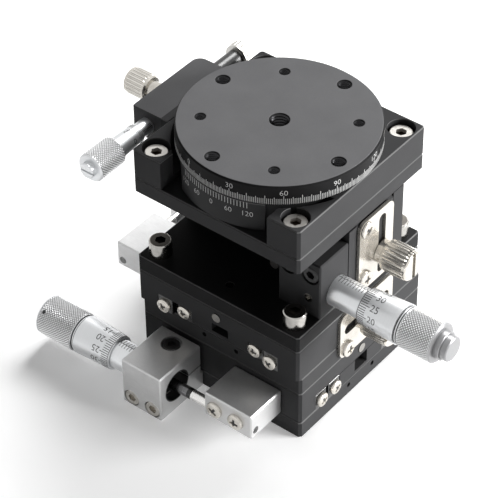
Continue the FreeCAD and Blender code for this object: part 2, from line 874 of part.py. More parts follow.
def z_fixed_stage():
    # bracket wall, stage base and fixed rails
    wall = slab(-z_middle, z_middle, -z_wall_half, z_wall_half, -z_wall_thick, 0)
    body = wall.fuse([stage_base(z_stage_long)] + fixed_rails(z_stage_long))
    body = placed(body.removeSplitter(), z_stage)
    hook = z_stage.multVec(vec(-z_spring_hook, 0, channel_floor))
    cuts = [thread_hole(hook, -along_y, hook_pin_sunk, hook_pin_dia)]
    for x, z in pillar_screw_points():
        cuts.append(thread_hole(vec(x, z_wall_front, z), along_y, pillar_thread_deep, m3_dia))
    cuts.append(thread_hole(vec(crank_x, z_wall_front, crank_z), along_y, crank_pin_sunk, crank_pin_dia))
    for z in z_lock_screw_zs:
        seat = vec(half, z_stage_back + z_lock_screw_y, z)
        cuts.append(thread_hole(seat, -along_x, plate_screw_long, pan_thread))
    return body.cut(cuts)


def z_fixed_fasteners():
    # lock plate screws, spring pin and the pivot of the bell crank
    pieces = []
    for z in z_lock_screw_zs:
        seat = vec(half + lock_plate_thick, z_stage_back + z_lock_screw_y, z)
        pieces.append(pan_screw(seat, along_x, plate_screw_long + lock_plate_thick))
    pieces.append(placed(hook_pin(-z_spring_hook, channel_floor, along_z), z_stage))
    shoulder = z_wall_front - (z_mic_y + crank_thick / 2) - crank_side_gap
    free = shoulder + crank_thick + 2 * crank_side_gap
    end = free + crank_pin_cap_thick
    pin = crank_pin_dia / 2
    cap = crank_pin_cap / 2
    outline = [(-crank_pin_sunk, 0), (-crank_pin_sunk, pin), (0, pin), (0, cap), (shoulder, cap)]
    outline += [(shoulder, pin), (free, pin), (free, cap), (end, cap), (end, 0)]
    pieces.append(turned(outline, vec(crank_x, z_wall_front, crank_z), -along_y))
    return group(pieces)


def z_lock_plate():
    low = (z_lock_low - z_middle, z_lock_front - z_stage_back)
    high = (z_lock_high - z_middle, z_lock_back - z_stage_back)
    screws = [(z - z_middle, z_lock_screw_y) for z in z_lock_screw_zs]
    slot_x = z_lock_slot_middle - z_middle
    return placed(lock_plate(low, high, slot_x, z_lock_slot_z, lock_slot_long, screws), z_stage)


def z_pillar():
    # block that holds the Z micrometer, screwed to the bracket wall
    body = broken(slab(pillar_inner, pillar_outer, pillar_front, z_wall_front, 0, pillar_high))
    cuts = [rod(sleeve_dia / 2 + seat_clear, vec(pillar_inner - through, z_mic_y, z_mic_z),
                vec(pillar_outer + through, z_mic_y, z_mic_z))]
    for x, z in pillar_screw_points():
        cuts.append(rod(pillar_counterbore / 2, vec(x, pillar_front - through, z),
                        vec(x, pillar_front + counterbore_deep, z)))
        cuts.append(rod(m3_dia / 2 + m3_clear, vec(x, pillar_front, z), vec(x, z_wall_front + through, z)))
    cuts.append(rod(m3_dia / 2 + seat_clear, vec(set_screw_x, pillar_front - through, z_mic_z),
                    vec(set_screw_x, z_mic_y, z_mic_z)))
    return body.cut(cuts)


def z_sleeve():
    start = vec(pillar_inner, z_mic_y, z_mic_z)
    end = vec(z_thimble_x + z_sleeve_in_thimble, z_mic_y, z_mic_z)
    return rod(sleeve_dia / 2, start, end).cut(rod(sleeve_bore / 2, start, end))


def z_thimble():
    neck = z_thimble_long + z_neck_long
    end = [(z_thimble_long, z_neck_dia / 2), (neck, z_neck_dia / 2), (neck, z_cap_dia / 2)]
    end += [(neck + z_cap_long, z_cap_dia / 2), (neck + z_cap_long, 0)]
    outline = thimble_form(z_thimble_front_dia, z_thimble_cone_long, thimble_grip_dia, z_thimble_knurl_dia,
                           z_thimble_long, thimble_bore, spindle_stub_dia, end)
    return turned(outline, vec(z_thimble_x, z_mic_y, z_mic_z), along_x)


def z_spindle():
    floor = z_thimble_back - thimble_floor - spindle_back_gap
    outline = spindle_form(spindle_stub_dia, spindle_dia, floor - z_tip_x)
    return turned(outline, vec(floor, z_mic_y, z_mic_z), -along_x)


def tapered_arm(end):
    # arm of the bell crank from its hub at the origin to an end point
    along = FreeCAD.Vector(end).normalize()
    across = along.cross(along_y)
    corners = [across * crank_arm_root, end + across * crank_arm_end, end - across * crank_arm_end,
               across * -crank_arm_root]
    face = Part.Face(Part.makePolygon(corners + [corners[0]]))
    arm = face.extrude(along_y * crank_thick)
    arm.translate(along_y * (-crank_thick / 2))
    return arm


def z_lever():
    # bell crank: one arm is pushed by the spindle, the other lifts the pad
    low = along_y * (-crank_thick / 2)
    lifting = vec(-crank_arm, 0, 0)
    pushed = vec(0, 0, -crank_arm)
    hub = Part.makeCylinder(crank_hub, crank_thick, low, along_y)
    roller = Part.makeCylinder(crank_roller, crank_thick, low + lifting, along_y)
    ball = Part.makeCylinder(crank_ball, crank_thick, low + pushed, along_y)
    body = hub.fuse([roller, ball, tapered_arm(lifting), tapered_arm(pushed)]).removeSplitter()
    body = body.cut(rod(crank_pin_dia / 2 + turn_clear, low * 2, low * -2))
    lean = FreeCAD.Rotation(along_y, -crank_half_swing)
    return placed(body, FreeCAD.Placement(vec(crank_x, z_mic_y, crank_z), lean))


def z_moving_wall():
    # stage table, moving rails and the wall that carries the top plate
    wall = slab(-z_middle, z_gap_above - z_middle, -z_wall_half, z_wall_half,
                stage_height, stage_height + z_moving_wall_thick)
    body = wall.fuse([stage_table(z_stage_long)] + moving_rails(z_stage_long)).removeSplitter()
    body = body.fuse(hook_pin(z_spring_hook, table_low, -along_z))
    body = body.cut(slab(-half, z_moving_lift - z_middle, -plate_side, plate_side, 0, plate_side))
    body = body.cut(lock_stem_hole(z_lock_knob_z - z_middle, z_lock_slot_z))
    return placed(body, z_stage)


def z_top_plate():
    # square plate with the pad that the bell crank lifts
    body = broken_plate(slab(-half, half, -half, half, z_gap_above, z_gap_above + z_top_thick))
    pad = slab(pad_left, pad_right, z_mic_y - crank_thick / 2, z_mic_y + crank_thick / 2, pad_low, z_gap_above)
    body = body.fuse(pad)
    top = z_gap_above + z_top_thick
    low = z_gap_above - through
    return body.cut([rod(m4_dia / 2 + seat_clear, vec(x, y, low), vec(x, y, top + through))
                     for x, y in corner_points()])


def z_axis():
    carried = FreeCAD.Placement(vec(0, -y_rest, z_deck), FreeCAD.Rotation())
    cage_pair = group(cages(z_cage_length, z_roller_pitch))
    nodes = {
        "z_base_plate": z_base_plate(),
        "z_socket_screws": z_socket_screws(),
        "z_fixed_stage": z_fixed_stage(),
        "z_lock_plate": z_lock_plate(),
        "z_fixed_fasteners": z_fixed_fasteners(),
        "z_pillar": z_pillar(),
        "z_sleeve": z_sleeve(),
        "z_spindle": z_spindle(),
        "z_thimble": z_thimble(),
        "z_roller_cages": placed(cage_pair, z_stage),
        "z_lever": z_lever(),
        "z_moving_wall": z_moving_wall(),
        "z_lock_knob": placed(lock_knob(z_lock_knob_z - z_middle, z_lock_slot_z), z_stage),
        "z_spring": placed(spring(-z_spring_hook, z_spring_hook), z_stage),
        "z_top_plate": z_top_plate(),
    }
    return {name: placed(shape, carried) for name, shape in nodes.items()}


# Rotary axis, in the frame of its body's underside

def round_wall(outer, inner, low, high):
    hollow = rod(inner, vec(0, 0, low - through), vec(0, 0, high + through))
    return rod(outer, vec(0, 0, low), vec(0, 0, high)).cut(hollow)


def rot_body():
    # square body with a round pocket, open at the front for the vernier
    body = broken_plate(slab(-half, half, -half, half, 0, rot_height))
    body = body.fuse(slab(-half - side_pad, -half, fine_front, fine_back, 0, rot_height))
    low = -through
    high = rot_height + through
    inside = rod(rot_wall_outer, vec(0, 0, low), vec(0, 0, high))
    opening = slab(rot_opening_left, rot_opening_right, -half - through, rot_relief_front, low, high)
    opening = opening.cut(inside)
    relief = round_wall(rot_relief, rot_wall_outer, rot_floor, high)
    relief = relief.common(slab(-plate_side, plate_side, -plate_side, rot_relief_front, 0, high))
    pocket = rod(rot_pocket, vec(0, 0, rot_floor), vec(0, 0, high))
    bore = rod(rot_bore, vec(0, 0, low), vec(0, 0, high))
    window = slab(-half - side_pad - through, rot_window_lap - rot_pocket, -fine_window, fine_window,
                  fine_floor, rot_height - fine_roof)
    cuts = [opening, relief, pocket, bore, window]
    seat = rot_height - rot_head_sunk - m4_head_high
    for x, y in corner_points():
        cuts.append(rod(rot_counterbore / 2, vec(x, y, seat), vec(x, y, high)))
        cuts.append(rod(m4_dia / 2 + m4_clear, vec(x, y, low), vec(x, y, high)))
    return body.cut(cuts)


def rot_screws():
    seat = rot_height - rot_head_sunk - m4_head_high
    return group([socket_screw(vec(x, y, seat), along_z, seat + z_top_thick - screw_room, m4_dia, m4_head_dia,
                               m4_head_high, m4_hex) for x, y in corner_points()])


def vernier_plate():
    # curved scale plate on the front of the pocket wall
    start = -90 - vernier_angle / 2
    thick = vernier_high - vernier_low
    plate = Part.makeCylinder(vernier_outer, thick, vec(0, 0, vernier_low), along_z, vernier_angle)
    plate.rotate(origin, along_z, start)
    return plate.cut(rod(rot_wall_outer + turn_clear, vec(0, 0, 0), vec(0, 0, rot_height)))


def table_disc():
    # turned disc with a hub that reaches down through the fine ring
    low = rot_height + table_gap
    high = low + table_high
    radius = table_dia / 2
    hub = hub_dia / 2
    outline = [(retainer_low + retainer_thick, 0), (retainer_low + retainer_thick, hub), (low, hub)]
    outline += [(low, radius - table_break), (low + table_break, radius), (high - table_break, radius)]
    outline += [(high, radius - table_break), (high, 0)]
    body = turned(outline, origin, along_z)
    cuts = [rod(table_m6_bore / 2, vec(0, 0, high - table_m6_deep), vec(0, 0, high + through))]
    for quarter in range(4):
        for ring, bore, turn in ((table_m4_ring, table_m4_bore, 0), (table_m3_ring, table_m3_bore, 45)):
            angle = math.radians(table_turn + turn + 90 * quarter)
            x = ring / 2 * math.cos(angle)
            y = ring / 2 * math.sin(angle)
            cuts.append(rod(bore / 2, vec(x, y, low - through), vec(x, y, high + through)))
    return body.cut(cuts)


def retainer():
    # disc under the hub that keeps the table in the fine ring
    return rod(retainer_dia / 2, vec(0, 0, retainer_low), vec(0, 0, retainer_low + retainer_thick))


def fine_ring():
    # flanged ring with the arm that the fine micrometer pushes
    under = retainer_low + retainer_thick + retainer_room
    room = retainer_dia / 2 + retainer_room
    spigot = rot_bore - ring_spigot_clear
    outline = [(ring_spigot_low, room), (ring_spigot_low, spigot), (ring_low, spigot), (ring_low, ring_flange)]
    outline += [(ring_high, ring_flange), (ring_high, ring_bore / 2), (under, ring_bore / 2), (under, room)]
    arm = slab(-arm_out, -ring_bore, -arm_half, arm_half, arm_low, arm_high)
    body = turned(outline, origin, along_z).fuse(arm)
    outside = vec(-arm_out - through, 0, fine_axis_z)
    return body.cut(rod(clamp_stem_dia / 2 + turn_clear, outside, vec(0, 0, fine_axis_z)))


def fine_block():
    # housing of the fine adjuster, open towards the rotary body
    body = slab(-fine_out, -half - side_pad, fine_front, fine_back, 0, rot_height)
    corner = [edge for edge in body.Edges if runs_along(edge, along_z)
              and (edge.CenterOfMass - vec(-fine_out, fine_back, rot_height / 2)).Length < 0.01]
    body = body.makeFillet(fine_corner, corner)
    high = rot_height - fine_roof
    cuts = [slab(-fine_out + fine_wall, -half, -fine_window, fine_window, fine_floor, high)]
    slot_half = clamp_stem_dia / 2 + fine_slot_room
    cuts.append(slab(-fine_out - through, -fine_out + fine_wall + through, -fine_slot_half, fine_slot_half,
                     fine_axis_z - slot_half, fine_axis_z + slot_half))
    cuts.append(rod(fine_sleeve_dia / 2 + seat_clear, vec(fine_axis_x, fine_front - through, fine_axis_z),
                    vec(fine_axis_x, 0, fine_axis_z)))
    cuts.append(rod(plunger_dia / 2 + seat_clear, vec(fine_axis_x, 0, fine_axis_z),
                    vec(fine_axis_x, fine_back + through, fine_axis_z)))
    return body.cut(cuts)


def r_sleeve():
    start = vec(fine_axis_x, -fine_window, fine_axis_z)
    end = vec(fine_axis_x, fine_front - fine_sleeve_show - fine_sleeve_in, fine_axis_z)
    return rod(fine_sleeve_dia / 2, start, end).cut(rod(fine_sleeve_bore / 2, start, end))


def r_thimble():
    long = fine_cone_long + fine_knurl_long
    end = [(long, fine_end_dia / 2), (long + fine_end_long, fine_end_dia / 2), (long + fine_end_long, 0)]
    outline = thimble_form(fine_thimble_front, fine_cone_long, fine_thimble_grip, fine_knurl_dia,
                           long, fine_thimble_bore, fine_stub_dia, end)
    return turned(outline, vec(fine_axis_x, fine_front - fine_sleeve_show, fine_axis_z), -along_y)


def domed_rod(dia, tip, direction, long):
    # rod with a round tip at its start
    ball = Part.makeSphere(dia / 2, tip + direction * (dia / 2))
    return ball.fuse(Part.makeCylinder(dia / 2, long - dia / 2, tip + direction * (dia / 2), direction))


def r_spindle():
    long = fine_cone_long + fine_knurl_long
    back = fine_front - fine_sleeve_show - long + thimble_floor + spindle_back_gap
    tip = vec(fine_axis_x, -arm_half - tip_gap, fine_axis_z)
    body = domed_rod(fine_spindle_dia, tip, -along_y, tip.y - back)
    long = spindle_stub_long - spindle_end_gap
    stub = Part.makeCylinder(fine_stub_dia / 2, long, vec(fine_axis_x, back, fine_axis_z), -along_y)
    return body.fuse(stub)


def plunger_barrel():
    start = fine_window + plunger_cap_gap
    outline = [(0, plunger_bore / 2), (0, plunger_dia / 2)]
    end = fine_back + plunger_out - start
    cap = plunger_cap_dia / 2
    outline += [(end, plunger_dia / 2), (end, cap), (end + plunger_cap_long, cap)]
    deep = plunger_bore_end - start
    outline += [(end + plunger_cap_long, 0), (deep, 0), (deep, plunger_bore / 2)]
    return turned(outline, vec(fine_axis_x, start, fine_axis_z), along_y)


def plunger_pin():
    tip = vec(fine_axis_x, arm_half + tip_gap, fine_axis_z)
    return domed_rod(plunger_pin_dia, tip, along_y, plunger_pin_long)


def clamp_knob():
    # stem through the arm, neck and straight-knurled head
    neck = clamp_neck_out - clamp_stem_tip
    head = clamp_knob_start - clamp_stem_tip
    outline = [(0, 0), (0, clamp_stem_dia / 2), (neck, clamp_stem_dia / 2), (neck, clamp_neck_dia / 2)]
    outline += [(head, clamp_neck_dia / 2)] + grip_outline(head, clamp_knob_long, clamp_knob_dia)
    return turned(outline, vec(-clamp_stem_tip, 0, fine_axis_z), -along_x)


def rotary_axis():
    carried = FreeCAD.Placement(vec(0, -y_rest, rot_z), FreeCAD.Rotation())
    nodes = {
        "rotary_body": rot_body(),
        "rotary_screws": rot_screws(),
        "vernier_plate": vernier_plate(),
        "fine_ring": fine_ring(),
        "rotary_table": table_disc(),
        "table_retainer": retainer(),
        "fine_block": fine_block(),
        "fine_sleeve": r_sleeve(),
        "fine_spindle": r_spindle(),
        "fine_thimble": r_thimble(),
        "plunger_barrel": plunger_barrel(),
        "plunger_pin": plunger_pin(),
        "clamp_knob": clamp_knob(),
    }
    return {name: placed(shape, carried) for name, shape in nodes.items()}


def main():
    x_frame = FreeCAD.Placement()
    y_frame = FreeCAD.Placement(vec(0, 0, stage_height), FreeCAD.Rotation(along_z, -90))
    nodes = linear_stage("x", x_frame, 0, False)
    nodes.update(linear_stage("y", y_frame, y_rest, True))
    nodes.update(z_axis())
    nodes.update(rotary_axis())
    os.makedirs("parts", exist_ok=True)
    for name, shape in nodes.items():
        if not shape.isValid():
            print("not valid:", name)
        shape.exportStep("parts/" + name + ".step")
    print(len(nodes), "nodes")


main()
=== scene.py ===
import json
import math

import bmesh
import bpy
from mathutils import Matrix, Vector


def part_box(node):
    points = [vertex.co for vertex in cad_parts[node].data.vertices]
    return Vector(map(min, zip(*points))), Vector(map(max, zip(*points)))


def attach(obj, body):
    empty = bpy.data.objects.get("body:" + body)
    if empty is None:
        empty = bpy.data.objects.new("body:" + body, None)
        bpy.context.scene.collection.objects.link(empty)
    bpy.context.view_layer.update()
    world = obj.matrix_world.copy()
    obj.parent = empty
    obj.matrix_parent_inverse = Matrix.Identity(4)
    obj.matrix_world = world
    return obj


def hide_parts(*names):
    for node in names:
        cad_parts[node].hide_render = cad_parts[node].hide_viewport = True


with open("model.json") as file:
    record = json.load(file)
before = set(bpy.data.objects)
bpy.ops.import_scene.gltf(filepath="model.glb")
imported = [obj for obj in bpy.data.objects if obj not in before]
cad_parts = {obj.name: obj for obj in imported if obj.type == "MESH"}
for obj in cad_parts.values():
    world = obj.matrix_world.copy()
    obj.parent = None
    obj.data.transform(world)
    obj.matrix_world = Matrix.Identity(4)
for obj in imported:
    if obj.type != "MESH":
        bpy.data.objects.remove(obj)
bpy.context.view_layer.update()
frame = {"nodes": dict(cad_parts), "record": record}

scene = bpy.context.scene
mm = 0.001
print("stage frame loaded:", len(frame["nodes"]), "nodes")


# Sockets that add up like numbers

class Wire:
    def __init__(self, tree, socket=None):
        self.tree = tree
        self.socket = socket

    # any node: its settings go in before the values or links of its sockets
    def node(self, kind, settings={}, inputs={}, output=0):
        made = self.tree.nodes.new(kind)
        for name, value in settings.items():
            setattr(made, name, value)
        for key, value in inputs.items():
            if isinstance(value, Wire):
                self.tree.links.new(value.socket, made.inputs[key])
            else:
                made.inputs[key].default_value = value
        return Wire(self.tree, made.outputs[output])

    def maths(self, operation, *terms):
        return self.node("ShaderNodeMath", {"operation": operation}, dict(enumerate(terms)))

    def into(self, socket):
        self.tree.links.new(self.socket, socket)

    def __add__(self, other):
        return self.maths("ADD", self, other)

    def __sub__(self, other):
        return self.maths("SUBTRACT", self, other)

    def __rsub__(self, other):
        return self.maths("SUBTRACT", other, self)

    def __mul__(self, other):
        return self.maths("MULTIPLY", self, other)

    def __truediv__(self, other):
        return self.maths("DIVIDE", self, other)

    def __gt__(self, other):
        return self.maths("GREATER_THAN", self, other)

    def __lt__(self, other):
        return self.maths("LESS_THAN", self, other)

    __radd__ = __add__
    __rmul__ = __mul__


# Finishes

def newFinish(name, colour, roughness, metallic=0.0, coat=0.0):
    material = bpy.data.materials.new(name)
    material.use_nodes = True
    shader = material.node_tree.nodes["Principled BSDF"]
    for socket, value in (("Base Color", (*colour, 1)), ("Roughness", roughness),
                          ("Metallic", metallic), ("Coat Weight", coat)):
        shader.inputs[socket].default_value = value
    place = Wire(material.node_tree).node("ShaderNodeTexCoord", output="Object")
    return material, shader.inputs, place


def stretched(place, scale):
    return place.node("ShaderNodeMapping", inputs={"Vector": place, "Scale": scale})


def grain(place, size, detail=2.0):
    # noise whose blotches are about size millimetres across
    return place.node("ShaderNodeTexNoise", inputs={"Vector": place, "Scale": 1 / (size * mm), "Detail": detail})


def blended(amount, first, second):
    wire = [term for term in (amount, first, second) if isinstance(term, Wire)][0]
    return wire.node("ShaderNodeMix", {"data_type": "RGBA"},
                     {0: amount, 6: first if isinstance(first, Wire) else (*first, 1),
                      7: second if isinstance(second, Wire) else (*second, 1)}, 2)


def raised(height, depth, strength=1.0):
    return height.node("ShaderNodeBump", inputs={"Height": height, "Distance": depth * mm, "Strength": strength})


def between(value, low, high):
    # 0 below low, 1 above high, in millimetres
    return value.node("ShaderNodeMapRange", inputs={0: value, 1: low * mm, 2: high * mm})


def parts(place):
    split = place.tree.nodes.new("ShaderNodeSeparateXYZ")
    place.into(split.inputs[0])
    return [Wire(place.tree, split.outputs[axis]) for axis in range(3)]


# thin painted highlights just below the plates' top edges, where their edges catch the light, at these heights in
# millimetres
edges = {"levels": (6.0, 18.0, 24.0, 36.0, 41.5, 71.5, 81.5), "from": 0.34, "to": 0.05, "tone": (0.11, 0.11, 0.11)}
anodised = {"dark": (0.028, 0.028, 0.029), "pale": (0.043, 0.043, 0.044), "roughness": 0.42, "peel": 0.006,
            "shine": 0.03}


def blackAnodised(name="black anodised", lift=1.0, below=None, sideShadeShare=0.4):
    # below a level in millimetres the finish keeps only part of its tone, as painted shade on the sides under the top
    # face; lift scales the whole tone, above 1 as painted light and below 1 as painted shade
    dark = [value * lift for value in anodised["dark"]]
    pale = [value * lift for value in anodised["pale"]]
    material, shader, place = newFinish(name, dark, anodised["roughness"])
    shader["Specular IOR Level"].default_value = anodised["shine"]
    cloud = grain(place, 9, 3)
    fine = grain(place, 0.28, 2)
    tone = blended(cloud * 0.6 + fine * 0.4, dark, pale)
    height = parts(place)[2]
    # painted highlight: a lighter tone in thin bands just below each plate's top edge
    edgeHighlight = 0
    for top in edges["levels"]:
        edgeHighlight = edgeHighlight + (height > (top - edges["from"]) * mm) * (height < (top - edges["to"]) * mm)
    tone = blended(edgeHighlight, tone, edges["tone"])
    # painted shade on the sides below the top face
    if below:
        level = between(height, below - 0.06, below)
        tone = blended(level, blended(sideShadeShare, tone, (0, 0, 0)), tone)
    tone.into(shader["Base Color"])
    (cloud * 0.10 + fine * 0.12 + (anodised["roughness"] - 0.10)).into(shader["Roughness"])
    raised(fine, anodised["peel"]).into(shader["Normal"])
    return material


def naturalAluminium(name="natural aluminium", metal=0.75, lift=1.0, bore=None):
    # bore: the middle across y and z and the radius within which the block is painted dark as shade in its bore; lift
    # scales the tone, above 1 as painted light
    material, shader, place = newFinish(name, (0.66, 0.66, 0.67), 0.36, metal)
    milled = grain(stretched(place, (0.12, 1, 1)), 0.16, 2)
    cloud = grain(place, 5, 2)
    tone = blended(milled * 0.5 + cloud * 0.5, [value * lift for value in (0.50, 0.50, 0.50)],
                   [value * lift for value in (0.74, 0.74, 0.74)])
    if bore:
        x, y, z = parts(place)
        fromY = y - bore[0] * mm
        fromZ = z - bore[1] * mm
        reach = (fromY * fromY + fromZ * fromZ).maths("SQRT", fromY * fromY + fromZ * fromZ)
        # painted shade within the bore
        tone = blended(between(reach, bore[2] - 0.1, bore[2]), (0.05, 0.05, 0.05), tone)
    tone.into(shader["Base Color"])
    (milled * 0.18 + 0.28).into(shader["Roughness"])
    raised(milled, 0.006).into(shader["Normal"])
    return material


def grooved(place, surface, ridgeHighlight, grooveShade, sharp=True):
    # the attribute groove is 0 off a knurl, 0.5 on its ridges and 1 in its bottoms; the ridges get a painted highlight
    # colour and the bottoms a painted shade colour
    groove = place.node("ShaderNodeAttribute", {"attribute_name": "groove"}, output="Fac")
    valley = groove * 2 - 1
    return blended(groove > 0.25, surface, blended(valley * valley if sharp else valley, ridgeHighlight, grooveShade))


def satinChrome(name, axis, shadeFrom=None, lift=1.0):
    # fine turned rings square to the axis, with painted shade past the given millimetres along it, where the end faces
    # the light
    material, shader, place = newFinish(name, (0.70, 0.71, 0.72), 0.3, 0.75)
    squeeze = [0.02, 0.02, 0.02]
    squeeze[axis] = 1
    turned = grain(stretched(place, squeeze), 0.16, 2)
    cloud = grain(place, 6, 2)
    tone = blended(turned * 0.5 + cloud * 0.5, [value * lift for value in (0.58, 0.59, 0.60)],
                   [value * lift for value in (0.72, 0.73, 0.74)])
    # painted shade on the end past the given distance along the axis
    if shadeFrom:
        tone = blended(between(parts(place)[axis], shadeFrom, shadeFrom + 0.1), tone, (0.29, 0.29, 0.295))
    grooved(place, tone, (0.92, 0.925, 0.93), (0.24, 0.24, 0.245)).into(shader["Base Color"])
    (turned * 0.10 + 0.28).into(shader["Roughness"])
    raised(turned, 0.0015).into(shader["Normal"])
    return material


def brightNickel(name="nickel", dark=(0.46, 0.435, 0.39), pale=(0.74, 0.71, 0.66)):
    material, shader, place = newFinish(name, pale, 0.2, 0.85)
    cloud = grain(place, 2.6, 3)
    fine = grain(place, 0.2, 2)
    tone = blended(cloud * 0.75 + fine * 0.25, dark, pale)
    grooved(place, tone, (0.84, 0.81, 0.75), (0.03, 0.027, 0.022), False).into(shader["Base Color"])
    (cloud * 0.10 + fine * 0.06 + 0.13).into(shader["Roughness"])
    raised(fine, 0.003).into(shader["Normal"])
    return material


def groundSteel(name="ground steel", dark=(0.36, 0.36, 0.37), pale=(0.62, 0.62, 0.63), grit=(0.06, 1, 1)):
    material, shader, place = newFinish(name, pale, 0.28, 1.0)
    ground = grain(stretched(place, grit), 0.12, 2)
    cloud = grain(place, 3, 2)
    blended(ground * 0.6 + cloud * 0.4, dark, pale).into(shader["Base Color"])
    (ground * 0.16 + 0.2).into(shader["Roughness"])
    raised(ground, 0.004).into(shader["Normal"])
    return material


def blackSteel(name="black steel"):
    material, shader, place = newFinish(name, (0.04, 0.04, 0.045), 0.33, 0.3, 0.2)
    cloud = grain(place, 1.5, 3)
    fine = grain(place, 0.2, 2)
    blended(cloud * 0.5 + fine * 0.5, (0.022, 0.021, 0.021), (0.075, 0.070, 0.066)).into(shader["Base Color"])
    (fine * 0.2 + 0.24).into(shader["Roughness"])
    raised(fine, 0.008).into(shader["Normal"])
    return material


def dullPins(name, reach):
    # pins painted dark as shade where they sit in their holes, bright where they stand further out than reach
    # millimetres
    material, shader, place = newFinish(name, (0.3, 0.3, 0.3), 0.22, 0.8)
    x, y, z = parts(place)
    cloud = grain(place, 1.5, 3)
    across = x.maths("ABSOLUTE", x)
    out = across.maths("MAXIMUM", across, y.maths("ABSOLUTE", y)) > reach * mm
    blended(out, blended(cloud, (0.14, 0.135, 0.125), (0.34, 0.33, 0.31)), (0.86, 0.85, 0.83)).into(
        shader["Base Color"])
    (cloud * 0.1 + 0.18).into(shader["Roughness"])
    raised(cloud, 0.003).into(shader["Normal"])
    return material


def darkSockets(name, top, deep):
    # bright screw heads whose sockets are painted dark and brownish as shade below the level top
    material, shader, place = newFinish(name, (0.8, 0.79, 0.76), 0.2, 1.0)
    x, y, z = parts(place)
    cloud = grain(place, 1.2, 3)
    inside = 1 - between(z, top - deep, top)
    bright = blended(cloud, (0.60, 0.57, 0.53), (0.74, 0.72, 0.68))
    blended(inside, bright, (0.05, 0.035, 0.025)).into(shader["Base Color"])
    shader["Metallic"].default_value = 0.5
    (inside * 0.2 + cloud * 0.1 + 0.12).into(shader["Roughness"])
    raised(cloud, 0.001).into(shader["Normal"])
    return material


def stackScrews(name, headTop, pillarBand):
    # four nickel cap screws, a darker copy of nickel against direct light, with tops and sockets painted dark as shade,
    # black pillar screws and one bright set screw
    material, shader, place = newFinish(name, (0.8, 0.79, 0.76), 0.2, 1.0)
    x, y, z = parts(place)
    cloud = grain(place, 1.2, 3)
    bright = blended(cloud, (0.30, 0.29, 0.27), (0.56, 0.545, 0.52))
    fromX = x.maths("ABSOLUTE", x) - 25 * mm
    fromY = y.maths("ABSOLUTE", y + 1.4 * mm) - 25 * mm
    reach = (fromX * fromX + fromY * fromY).maths("SQRT", fromX * fromX + fromY * fromY)
    # painted shade on the head tops and in the sockets
    topShade = between(z, headTop - 0.25, headTop - 0.1) * (reach < 3.0 * mm)
    socket = 1 - between(reach, 1.8, 2.0)
    dark = topShade.maths("MAXIMUM", topShade, socket)
    head = blended(dark, bright, (0.075, 0.07, 0.064))
    onPillar = (y > pillarBand[0] * mm) * (y < pillarBand[1] * mm) * (z > pillarBand[2] * mm)
    blended(onPillar, head, (0.02, 0.02, 0.021)).into(shader["Base Color"])
    (1 - onPillar * 0.75).into(shader["Metallic"])
    (cloud * 0.1 + onPillar * 0.16 + topShade * 0.12 + 0.13).into(shader["Roughness"])
    raised(cloud, 0.02).into(shader["Normal"])
    return material


def blockScrews(name, across):
    # the two screws at the block's front are bright, the clamp screw on its top is black
    material, shader, place = newFinish(name, (0.7, 0.69, 0.66), 0.25, 1.0)
    clamp = parts(place)[across] > -40.5 * mm
    cloud = grain(place, 1.2, 3)
    bright = blended(cloud, (0.34, 0.32, 0.29), (0.72, 0.70, 0.66))
    blended(clamp, bright, (0.03, 0.029, 0.029)).into(shader["Base Color"])
    (1 - clamp * 0.7).into(shader["Metallic"])
    (cloud * 0.12 + clamp * 0.1 + 0.16).into(shader["Roughness"])
    raised(cloud, 0.01).into(shader["Normal"])
    return material


def spindleSteel(name, tip):
    # dark ground steel with a black ring at its tip, where x is tip millimetres
    material, shader, place = newFinish(name, (0.2, 0.2, 0.2), 0.25, 1.0)
    ground = grain(stretched(place, (1, 0.05, 0.05)), 0.2, 2)
    ring = between(parts(place)[0], tip - 1.5, tip - 1.4)
    blended(ring, blended(ground, (0.09, 0.09, 0.092), (0.24, 0.24, 0.245)), (0.008, 0.008, 0.008)).into(
        shader["Base Color"])
    (1 - ring).into(shader["Metallic"])
    (ground * 0.1 + 0.2).into(shader["Roughness"])
    raised(ground, 0.002).into(shader["Normal"])
    return material


def plungerSteel(name, cap):
    # black barrel and bright cap, which starts at cap millimetres along y
    material, shader, place = newFinish(name, (0.03, 0.03, 0.03), 0.3, 0.2)
    cloud = grain(place, 1.5, 3)
    bright = between(parts(place)[1], cap - 0.1, cap)
    blended(bright, blended(cloud, (0.02, 0.02, 0.02), (0.05, 0.05, 0.05)), (0.66, 0.65, 0.62)).into(
        shader["Base Color"])
    (bright * 0.7 + 0.1).into(shader["Metallic"])
    (cloud * 0.1 + 0.24).into(shader["Roughness"])
    raised(cloud, 0.003).into(shader["Normal"])
    return material


def springSteel(name, turn):
    # the wire's turns show as ridges along the coil, painted dark between the turns as shade
    material, shader, place = newFinish(name, (0.5, 0.5, 0.52), 0.25, 1.0)
    turns = place.node("ShaderNodeTexWave", {"bands_direction": turn}, {"Vector": place, "Scale": 2000 / 3.14 / 2})
    blended(turns, (0.08, 0.08, 0.085), (0.62, 0.62, 0.64)).into(shader["Base Color"])
    (turns * 0.1 + 0.2).into(shader["Roughness"])
    raised(turns, 0.2).into(shader["Normal"])
    return material


def ink(name, colour):
    material, shader, place = newFinish(name, colour, 0.5)
    fine = grain(place, 0.15, 2)
    blended(fine, [value * 0.8 for value in colour], [min(1, value * 1.12 + 0.004) for value in colour]).into(
        shader["Base Color"])
    (fine * 0.2 + 0.4).into(shader["Roughness"])
    return material


blackFinish = blackAnodised()
# painted light: the table and the fine block are brighter copies of black anodised, their sides below the top painted
# darker as shade
litTableFinish = blackAnodised("black anodised table", 3.4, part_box("rotary_table")[1].z / mm - 0.04, 0.9)
litFineBlockFinish = blackAnodised("black anodised block", 2.7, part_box("fine_block")[1].z / mm - 0.04, 0.4)
